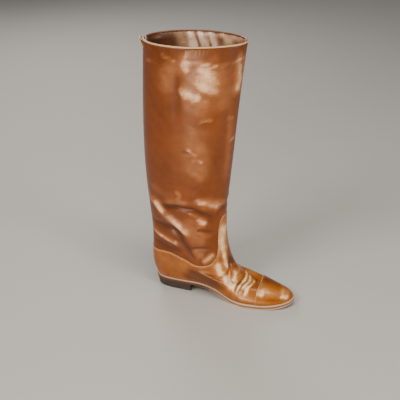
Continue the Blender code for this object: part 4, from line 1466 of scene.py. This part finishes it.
@dataclass
class Foot:
    """Vamp with counter, toe cap, and their seams."""

    last: Last
    columns: int = 360
    rows: int = 96
    vamp_top: float = 0.0012
    vamp_wall: float = 0.0009
    cap_top: float = 0.0024
    cap_wall: float = 0.0009
    cap_edge_x: float = 0.166
    cap_lean: float = -0.03
    fold_radius: float = 0.0012
    fold_foot: float = 0.0002
    cap_gap: float = 0.0001
    cap_curve: float = 0.0035
    # Width of the painted highlight along the folded edges.
    painted_edge_highlight_width: float = 0.0022
    stitch_rows: tuple[float, float] = (0.0022, 0.0043)
    leg_creases_kept: float = 0.08

    def __post_init__(self) -> None:
        """Gathers the creases of both sides."""
        self.marks = [*VAMP_MARKS, *TOE_BREAK_MARKS, *across(VAMP_MARKS, (0.0, 2.0), 0.6)]
        leg_low = [mark for mark in ANKLE_MARKS if min(point[1] for point in mark.points) < 120]
        self.marks += [replace(mark, rise=mark.rise * self.leg_creases_kept, tone=0.0) for mark in leg_low]

    def height_at(self, places: np.ndarray, levels: np.ndarray) -> tuple[np.ndarray, np.ndarray]:
        """Creases of the vamp, dying out at the feather.

        Args:
            places: points of the upper.
            levels: their levels.

        Returns:
            Heights in metres, and tones.
        """
        height, tone = relief(places, self.marks)
        alive = smoothstep(levels / 0.7)
        return height * alive, tone * alive

    def rolled(self, away: np.ndarray) -> np.ndarray:
        """Share of its full height that a folded edge has this far from its line."""
        return np.sqrt(np.clip(1 - (1 - np.clip(away / self.fold_radius, 0, 1)) ** 2, 0, 1))

    def vamp(self, finish: bpy.types.Material) -> None:
        """The foot's outer layer, whose top edge is folded over and lies on the leg leather.

        Args:
            finish: its material.
        """
        around = np.linspace(0, 1, self.columns + 1)[:, None] * np.ones(self.rows + 1)
        seam = self.last.seam_level(around[:, :1])
        even = np.linspace(0, 1, self.rows + 1)[:-4] * 0.985
        share = np.concatenate([even, [0.9875, 0.992, 0.996, 1.0]])[None, :]
        level = seam * share
        places = self.last.surface(around, level)
        height, tone = self.height_at(places, level)
        rim = self.last.surface(around[:, :1], seam)
        before = self.last.surface(around[:, :1], seam - 0.02)
        slope = np.linalg.norm(rim - before, axis=-1) / 0.02
        away = (seam - level) * slope
        rolled = self.rolled(away)
        lift = self.fold_foot + (self.vamp_top - self.fold_foot) * rolled
        # Painted highlight along the folded top edge, in the edge colour.
        edge = smoothstep(1 - away / self.painted_edge_highlight_width)
        layers = {"fold": height / MM, "tone": tone, "edge": edge}
        mesh = draped(self.last.raised(around, level, height * rolled + lift), layers)
        add_piece("vamp_leather", mesh, finish, ["vamp"], wall=self.vamp_wall)

    def beside_seam(self, around: np.ndarray, distance: float) -> tuple[np.ndarray, np.ndarray]:
        """Places on the vamp at a distance square to its seam.

        Args:
            around: places round of the seam's points.
            distance: how far the row lies from the seam.

        Returns:
            Places round and levels of the row.
        """
        seam = self.last.seam_level(around)
        round_way = (self.last.surface(around + 1e-3, seam) - self.last.surface(around - 1e-3, seam)) / 2e-3
        up_way = (self.last.surface(around, seam) - self.last.surface(around, seam - 0.02)) / 0.02
        along = round_way + np.gradient(seam, around)[:, None] * up_way
        turn, drop = (up_way * along).sum(-1), -(round_way * along).sum(-1)
        size = np.linalg.norm(turn[:, None] * round_way + drop[:, None] * up_way, axis=-1)
        return around + distance * turn / size, seam + distance * drop / size

    def cap_reach(self, points: np.ndarray) -> np.ndarray:
        """How far behind the cap's edge each point lies, along the foot.

        Args:
            points: points of the upper.

        Returns:
            Distances in metres, below 0 in front of the edge.
        """
        middle = self.last.rings[3, 1]
        curve = self.cap_curve * (points[..., 1] / 0.04) ** 2
        return self.cap_edge_x - curve - points[..., 0] + self.cap_lean * (points[..., 2] - middle)

    def cap_levels(self, around: np.ndarray) -> np.ndarray:
        """Level of the cap's back edge at each place round."""
        return self.last.level_where(around, self.cap_reach, 0.0)

    def cap(self, finish: bpy.types.Material) -> None:
        """The toe cap over the vamp, with a rounded back edge.

        Args:
            finish: its material.
        """
        probe = np.linspace(0.25, 0.75, 2001)
        inside = probe[self.cap_reach(self.last.surface(probe, np.zeros_like(probe))) < -0.0004]
        spread = (1 - np.cos(np.linspace(0, np.pi, 161))) / 2
        around = (inside[0] + (inside[-1] - inside[0]) * spread)[:, None] * np.ones(65)
        seam = self.cap_levels(around[:, 0])[:, None]
        fold = [0.976, 0.982, 0.987, 0.991, 0.994, 0.997, 0.9988, 1.0]
        share = np.concatenate([np.linspace(0, 0.97, 57), fold])
        level = seam * share[None, :]
        places = self.last.surface(around, level)
        height, tone = relief(places, CAP_MARKS)
        tone *= smoothstep((level - 0.15) / 1.1)
        away = -self.cap_reach(places)
        rolled = self.rolled(away)
        lift = self.vamp_top + self.cap_gap + (self.cap_top - self.vamp_top - self.cap_gap) * rolled
        # Painted highlight along the cap's folded back edge, in the edge colour.
        edge = smoothstep(1 - away / self.painted_edge_highlight_width)
        layers = {"fold": height / MM, "tone": tone, "edge": edge}
        mesh = draped(self.last.raised(around, level, height + lift), layers)
        add_piece("toe_cap_leather", mesh, finish, ["toe_cap"], wall=self.cap_wall)

    def build(self, finishes: Finishes) -> None:
        """Makes the leathers and sews them.

        Args:
            finishes: the boot's materials.
        """
        self.vamp(finishes.foot)
        self.cap(finishes.cap)
        mesh = bmesh.new()
        for distance in self.stitch_rows:
            around, level = self.beside_seam(np.linspace(0.0, 1.0, 900), distance)
            height, _ = self.height_at(self.last.surface(around, level), level)
            path = self.last.raised(around, level, height + self.vamp_top)
            Stitching().sew(mesh, path, self.last.normal(around, level))
        add_piece("vamp_stitches", mesh, finishes.thread)
        mesh = bmesh.new()
        probe = np.linspace(0.3, 0.7, 1601)
        for distance in self.stitch_rows:
            level = self.last.level_where(probe, lambda point: self.cap_reach(point) + distance, 0.0)
            kept = level > 0.25
            path = self.last.raised(probe[kept], level[kept], np.full(kept.sum(), self.cap_top))
            Stitching().sew(mesh, path, self.last.normal(probe[kept], level[kept]))
        add_piece("toe_cap_stitches", mesh, finishes.thread)


@dataclass
class Collar:
    """The thin pale binding folded over the collar's edge, and its stitches."""

    last: Last
    section: tuple[tuple[float, float], ...] = (
        (0.12, -1.1), (0.55, -1.0), (0.82, -0.5), (0.82, 0.2), (0.60, 0.8), (0.10, 1.25), (-0.7, 1.45),
        (-1.5, 1.25), (-2.2, 0.8), (-2.6, 0.1), (-2.7, -1.0), (-2.5, -1.2), (-2.42, -0.8), (-2.40, 0.06),
        (-1.2, 0.12), (0.05, 0.05),
    )
    pale_points: tuple[int, ...] = (1, 2, 3, 4, 5)
    stations: int = 320
    zip_gap: float = 0.0056
    stitch_drop: float = 0.0028
    stitching: Stitching = Stitching(0.0017, 0.0009, 0.0003)

    def build(self, finishes: Finishes) -> None:
        """Makes the binding and sews it.

        Args:
            finishes: the boot's materials.
        """
        top = np.full(self.stations, float(self.last.top))
        edge = float(self.last.beside_zip(top[:1], self.zip_gap)[0])
        around = np.linspace(edge, 1 - edge, self.stations)
        rim, out = self.last.surface(around, top), self.last.normal(around, top)
        out[:, 2] = 0.0
        out /= np.linalg.norm(out, axis=1, keepdims=True)
        ripple = 1 + 0.05 * np.sin(around * 2 * np.pi * 61) + 0.04 * np.sin(around * 2 * np.pi * 23)
        rings = np.zeros((self.stations, len(self.section), 3))
        for k, (away, up) in enumerate(self.section):
            rings[:, k] = rim + out * (away * MM * ripple[:, None])
            rings[:, k, 2] += up * MM
        blank = np.zeros(rings.shape[:2])
        pale = blank.copy()
        pale[:, list(self.pale_points)] = 1.0
        mesh = swept(rings, layers={"fold": blank, "tone": blank, "edge": pale})
        add_piece("collar_edge", mesh, finishes.binding, ["collar_binding"], sharp=70.0)
        mesh = bmesh.new()
        level = self.last.level_at(around, rim[:, 2] - self.stitch_drop)
        path = self.last.raised(around, level, np.full_like(level, 0.0001))
        self.stitching.sew(mesh, path, self.last.normal(around, level))
        add_piece("collar_stitches", mesh, finishes.brown_thread)


@dataclass
class Bottom:
    """Welt with its stitches, outsole and the sock inside."""

    last: Last
    columns: int = 300
    wall: float = 0.0022
    sock_gap: float = 0.0010
    sock_thickness: float = 0.0045
    outsole_rounds: tuple[float, float] = (0.0011, 0.0013)
    sock_rounds: tuple[float, float] = (0.0005, 0.0012)
    face_parts: tuple[float, ...] = (0.0, 0.25, 0.5, 0.75, 0.93)
    edge_points: int = 5
    stitch_inset: float = 0.0017
    stitching: Stitching = Stitching(0.0026, 0.0012, 0.0004)

    def plate(
        self,
        edge: Callable[[np.ndarray, float], np.ndarray],
        low: Field,
        high: Field,
        rounds: tuple[float, float],
    ) -> bmesh.types.BMesh:
        """A closed plate between two curved faces.

        Args:
            edge: gives the outline's points moved inwards by a distance.
            low: height of the lower face at x.
            high: height of the upper face at x.
            rounds: radii of the lower and the upper edge.

        Returns:
            The new mesh.
        """
        round_low, round_high = rounds
        rings = [(part, round_low, low) for part in self.face_parts]
        for turn in np.linspace(0, math.pi / 2, self.edge_points):
            inset, lift = round_low * (1 - math.sin(turn)), round_low * (1 - math.cos(turn))
            rings.append((1.0, inset, lambda x, lift=lift: low(x) + lift))
        for turn in np.linspace(math.pi / 2, 0, self.edge_points):
            inset, drop = round_high * (1 - math.sin(turn)), round_high * (1 - math.cos(turn))
            rings.append((1.0, inset, lambda x, drop=drop: high(x) - drop))
        rings += [(part, round_high, high) for part in self.face_parts[::-1]]
        around = np.linspace(0, 1, self.columns + 1)
        points = np.zeros((self.columns + 1, len(rings), 3))
        for j, (part, inset, height) in enumerate(rings):
            line = edge(around, inset)
            middle = self.last.centre_line(line[:, 0])
            y = middle + (line[:, 1] - middle) * part
            points[:, j] = np.stack([line[:, 0], y, height(line[:, 0])], 1)
        lower_edge = np.zeros(len(rings))
        lower_edge[len(self.face_parts) : len(self.face_parts) + self.edge_points] = 1.0
        mesh = draped(points, {"line": np.tile(lower_edge, (self.columns + 1, 1))})
        bmesh.ops.recalc_face_normals(mesh, faces=mesh.faces)
        return mesh

    def build(self, finishes: Finishes) -> None:
        """Makes the outsole, the welt, the sock and the welt's stitches.

        Args:
            finishes: the boot's materials.
        """
        last = self.last

        def seat(x: np.ndarray) -> np.ndarray:
            """Height of the faces that lie on the outsole."""
            return last.underside(x) + last.outsole + last.clearance

        mesh = self.plate(last.outline, last.underside, lambda x: seat(x) - last.clearance, self.outsole_rounds)
        add_piece("outsole_leather", mesh, finishes.edge, ["outsole"])
        around = np.linspace(0, 1, self.columns + 1)
        upper = last.surface(around, np.zeros_like(around), -self.wall)
        rings = []
        high = last.welt
        profile = [(None, 0.0), (0.0007, 0.0), (0.0001, 0.0003), (0.0, 0.0008), (0.0, high - 0.001)]
        profile += [(0.0003, high - 0.0004), (0.0009, high), (None, high)]
        for inset, lift in profile:
            line = upper.copy() if inset is None else last.outline(around, inset)
            line[:, 2] = seat(line[:, 0]) + lift
            rings.append(line)
        pale = np.tile([0.0, 0.0, 0.0, 0.1, 1.0, 1.0, 0.7, 0.0], (self.columns + 1, 1))
        mesh = swept(np.stack(rings, 1), False, {"line": pale})
        add_piece("welt_strip", mesh, finishes.welt, ["welt"])
        gap = self.wall + self.sock_gap
        mesh = self.plate(
            lambda place, inset: last.surface(place, np.zeros_like(place), -(gap + inset)),
            seat,
            lambda x: seat(x) + self.sock_thickness,
            self.sock_rounds,
        )
        add_piece("sock_leather", mesh, finishes.sock, ["insole"])
        mesh = bmesh.new()
        around = np.linspace(0.235, 0.765, 700)
        path = last.outline(around, self.stitch_inset)
        path[:, 2] = seat(path[:, 0]) + last.welt
        up = np.tile([0.0, 0.0, 1.0], (len(path), 1))
        self.stitching.sew(mesh, path, up)
        add_piece("welt_stitches", mesh, finishes.pale_thread)


@dataclass
class Heel:
    """Three leather lifts on a rubber top piece."""

    last: Last
    lifts: int = 3
    step: float = 0.0008
    taper: float = 0.0030
    top_piece: float = 0.0055
    rubber_soft: float = 0.0006
    lift_soft: float = 0.0004
    lift_gap: float = 0.0001
    breast_gap: float = 0.0012
    reach: float = 0.30

    def section(self, inset: float) -> np.ndarray:
        """The heel's plan at an inset: the sole's back curve closed by a straight breast.

        Args:
            inset: how far the curve is moved inwards.

        Returns:
            Points in order, x and y.
        """
        breast = self.last.back_x + self.last.heel_length
        around = np.linspace(-self.reach, self.reach, 241)
        line = self.last.outline(around % 1.0, inset)[:, :2]
        line = line[line[:, 0] < breast - self.breast_gap]
        ends = np.array([[breast, line[0, 1]], [breast, line[-1, 1]]])
        front = np.linspace(ends[1], ends[0], 12)[1:-1]
        return np.vstack([ends[:1], line, ends[1:], front])

    def layer(self, low: float, high: float, soft: float) -> bmesh.types.BMesh:
        """One layer with softened edges.

        Args:
            low: height of its lower face.
            high: height of its upper face.
            soft: radius of its edges.

        Returns:
            The new mesh.
        """
        rings = []
        for z, extra in (
            (low, soft), (low + soft * 0.3, soft * 0.3), (low + soft, 0.0),
            (high - soft, 0.0), (high - soft * 0.3, soft * 0.3), (high, soft),
        ):
            inset = self.step + self.taper * (1 - z / self.last.heel_height)
            plan = self.section(inset)
            middle = plan.mean(0)
            away = plan - middle
            plan = plan - away / np.linalg.norm(away, axis=1, keepdims=True) * extra
            rings.append(np.column_stack([plan, np.full(len(plan), z)]))
        count = min(len(ring) for ring in rings)
        even = [ring[np.round(np.linspace(0, len(ring) - 1, count)).astype(int)] for ring in rings]
        return swept(np.stack(even))

    def build(self, finishes: Finishes) -> None:
        """Makes the top piece and the lifts.

        Args:
            finishes: the boot's materials.
        """
        mesh = self.layer(0.0, self.top_piece, self.rubber_soft)
        add_piece("heel_rubber_piece", mesh, finishes.rubber, ["heel_top_piece"], sharp=60)
        each = (self.last.heel_height - self.top_piece) / self.lifts
        for lift in range(self.lifts):
            low = self.top_piece + each * lift + self.lift_gap
            high = self.top_piece + each * (lift + 1)
            if lift == self.lifts - 1:
                high -= self.last.clearance
            mesh = self.layer(low, high, self.lift_soft)
            number = lift + 1
            add_piece(
                f"heel_stack_{number}", mesh, finishes.stack, [f"heel_lift_{number}"], sharp=60
            )


@dataclass
class BackZip:
    """Tapes, interlocking teeth, slider and pull of the zip up the back."""

    last: Last
    pitch: float = 0.0021
    tooth: Point = (0.0012, 0.0034, 0.0019)
    tooth_bevel: float = 0.0003
    tooth_offset: float = 0.00115
    proud: float = 0.0003
    parted: float = 0.0012
    slider_top: float = 0.463
    depth: float = 0.0027
    tape_edges: tuple[float, float] = (0.0003, 0.0130)
    tape_wall: float = 0.0008

    def tapes(self, finish: bpy.types.Material) -> None:
        """The two woven tapes behind the slit's edges.

        Args:
            finish: their material.
        """
        level = np.linspace(self.last.zip_foot, self.last.top - 0.1, 130)
        spread = np.linspace(*self.tape_edges, 9)
        for name, side in (("medial", -1), ("lateral", 1)):
            rows = []
            for distance in spread:
                place = self.last.beside_zip(level, distance)
                place = place if side < 0 else 1 - place
                rows.append(self.last.raised(place, level, np.full_like(level, -self.depth)))
            points = np.stack(rows if side < 0 else rows[::-1])
            node = f"zip_tape_{name}"
            add_piece(f"zip_band_{name}", draped(points), finish, [node], wall=self.tape_wall)

    def teeth(self, finish: bpy.types.Material) -> None:
        """The metal teeth, parted a little above the slider.

        Args:
            finish: their material.
        """
        level = np.linspace(self.last.zip_open + 0.1, self.last.top - 0.12, 600)
        line, out = self.last.surface(0.0, level), self.last.normal(0.0, level)
        run = np.concatenate([[0.0], np.cumsum(np.linalg.norm(np.diff(line, axis=0), axis=1))])
        mesh = bmesh.new()
        for k, distance in enumerate(np.arange(0.0008, run[-1] - 0.0008, self.pitch / 2)):
            spot, way, ahead = (
                np.array([np.interp(distance, run, values[:, axis]) for axis in range(3)])
                for values in (line, out, np.gradient(line, axis=0))
            )
            side = -1 if k % 2 else 1
            parting = self.parted * smoothstep((spot[2] - self.slider_top) / 0.008)
            along = Vector(ahead).normalized()
            away = Vector(way)
            beside = along.cross(away).normalized()
            turn = Matrix((along, beside, away)).transposed().to_4x4()
            middle = Vector(spot) - away * (self.depth - self.proud - self.tooth[2] / 2)
            middle += Vector((0, side * (self.tooth_offset + parting), 0))
            size = Matrix.Diagonal((*self.tooth, 1.0))
            bmesh.ops.create_cube(mesh, size=1.0, matrix=Matrix.Translation(middle) @ turn @ size)
        bmesh.ops.bevel(
            mesh, geom=list(mesh.edges), offset=self.tooth_bevel, segments=1, profile=0.5, affect="EDGES",
            material=-1
        )
        bmesh.ops.recalc_face_normals(mesh, faces=mesh.faces)
        add_piece("zip_teeth", mesh, finish, ["zip_chain"], sharp=30)

    def build(self, finishes: Finishes) -> None:
        """Makes the tapes and teeth, and gives the CAD's slider and pull their brass.

        Args:
            finishes: the boot's materials.
        """
        self.tapes(finishes.tape)
        self.teeth(finishes.brass)
        for name in ("zip_slider", "zip_pull"):
            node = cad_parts[name]
            for slot in node.material_slots:
                slot.material = finishes.brass
            LOG.info("%s: brass on the CAD's own shape", name)


@dataclass(frozen=True)
class Lamp:
    """A soft area light aimed at the boot."""

    name: str
    place: Point
    size: tuple[float, float]
    power: float
    colour: Colour = (1.0, 0.97, 0.93)
    spread: float = 180.0
    target: Point = (0.06, 0.0, 0.22)

    def build(self) -> None:
        """Hangs the light."""
        data = bpy.data.lights.new(self.name, "AREA")
        data.shape = "RECTANGLE"
        data.size, data.size_y = self.size
        data.energy = self.power
        data.color = self.colour
        data.spread = math.radians(self.spread)
        lamp = bpy.data.objects.new(self.name, data)
        lamp.location = self.place
        lamp.visible_camera = False
        lamp.rotation_euler = (Vector(self.target) - Vector(self.place)).to_track_quat("-Z", "Y").to_euler()
        bpy.context.scene.collection.objects.link(lamp)


@dataclass
class Studio:
    """Pale floor, soft lamps, pale surroundings and the camera at the photo's angle."""

    camera_place: Point = (0.354, -0.961, 0.753)
    camera_way: Point = (-0.2646, 0.8307, -0.4897)
    lens: float = 58.5
    sensor: float = 36.0
    sky_colour: Colour = (0.86, 0.84, 0.81)
    sky_strength: float = 0.24
    floor_reach: float = 9.0
    lamps: tuple[Lamp, ...] = (
        Lamp("key", (-0.85, -1.45, 1.75), (0.8, 0.8), 30.0, (1.0, 0.95, 0.88)),
        Lamp("low", (0.05, -1.25, 0.16), (0.42, 0.20), 2.8, (1.0, 0.76, 0.54), 100.0),
        Lamp("overhead", (0.45, -0.35, 1.9), (0.7, 0.7), 14.0, (1.0, 0.96, 0.90)),
        Lamp("right", (1.4, -0.5, 0.6), (0.30, 1.0), 10.0, (1.0, 0.90, 0.74)),
        Lamp("behind", (-1.1, 1.5, 1.3), (0.9, 0.9), 16.0, (1.0, 0.94, 0.87)),
    )

    def build(self, finishes: Finishes) -> None:
        """Sets up the studio.

        Args:
            finishes: the materials, the floor's among them.
        """
        mesh = bmesh.new()
        bmesh.ops.create_grid(mesh, x_segments=8, y_segments=8, size=self.floor_reach)
        data = bpy.data.meshes.new("floor")
        mesh.to_mesh(data)
        mesh.free()
        data.materials.append(finishes.floor)
        floor = bpy.data.objects.new("floor", data)
        bpy.context.scene.collection.objects.link(floor)
        for lamp in self.lamps:
            lamp.build()
        world = bpy.data.worlds.new("studio")
        world.use_nodes = True
        sky = world.node_tree.nodes["Background"]
        sky.inputs["Color"].default_value = (*self.sky_colour, 1.0)
        sky.inputs["Strength"].default_value = self.sky_strength
        bpy.context.scene.world = world
        view = bpy.data.cameras.new("camera")
        view.lens = self.lens
        view.sensor_width = self.sensor
        camera = bpy.data.objects.new("camera", view)
        camera.location = self.camera_place
        camera.rotation_euler = Vector(self.camera_way).to_track_quat("-Z", "Y").to_euler()
        bpy.context.scene.collection.objects.link(camera)
        bpy.context.scene.camera = camera


def write_sizes() -> None:
    """Brings the view layer up to date."""
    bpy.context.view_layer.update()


def main() -> None:
    """Builds the boot's pieces in a maker's order, then the studio."""
    logging.basicConfig(level=logging.INFO, format="%(name)s %(message)s")
    finishes = Finishes(Effects())
    last = Last()
    for part in (Leg(last), Foot(last), Collar(last), Bottom(last), Heel(last), BackZip(last)):
        LOG.info("building %s", type(part).__name__)
        part.build(finishes)
    Studio().build(finishes)
    write_sizes()


if __name__ == "__main__":
    main()
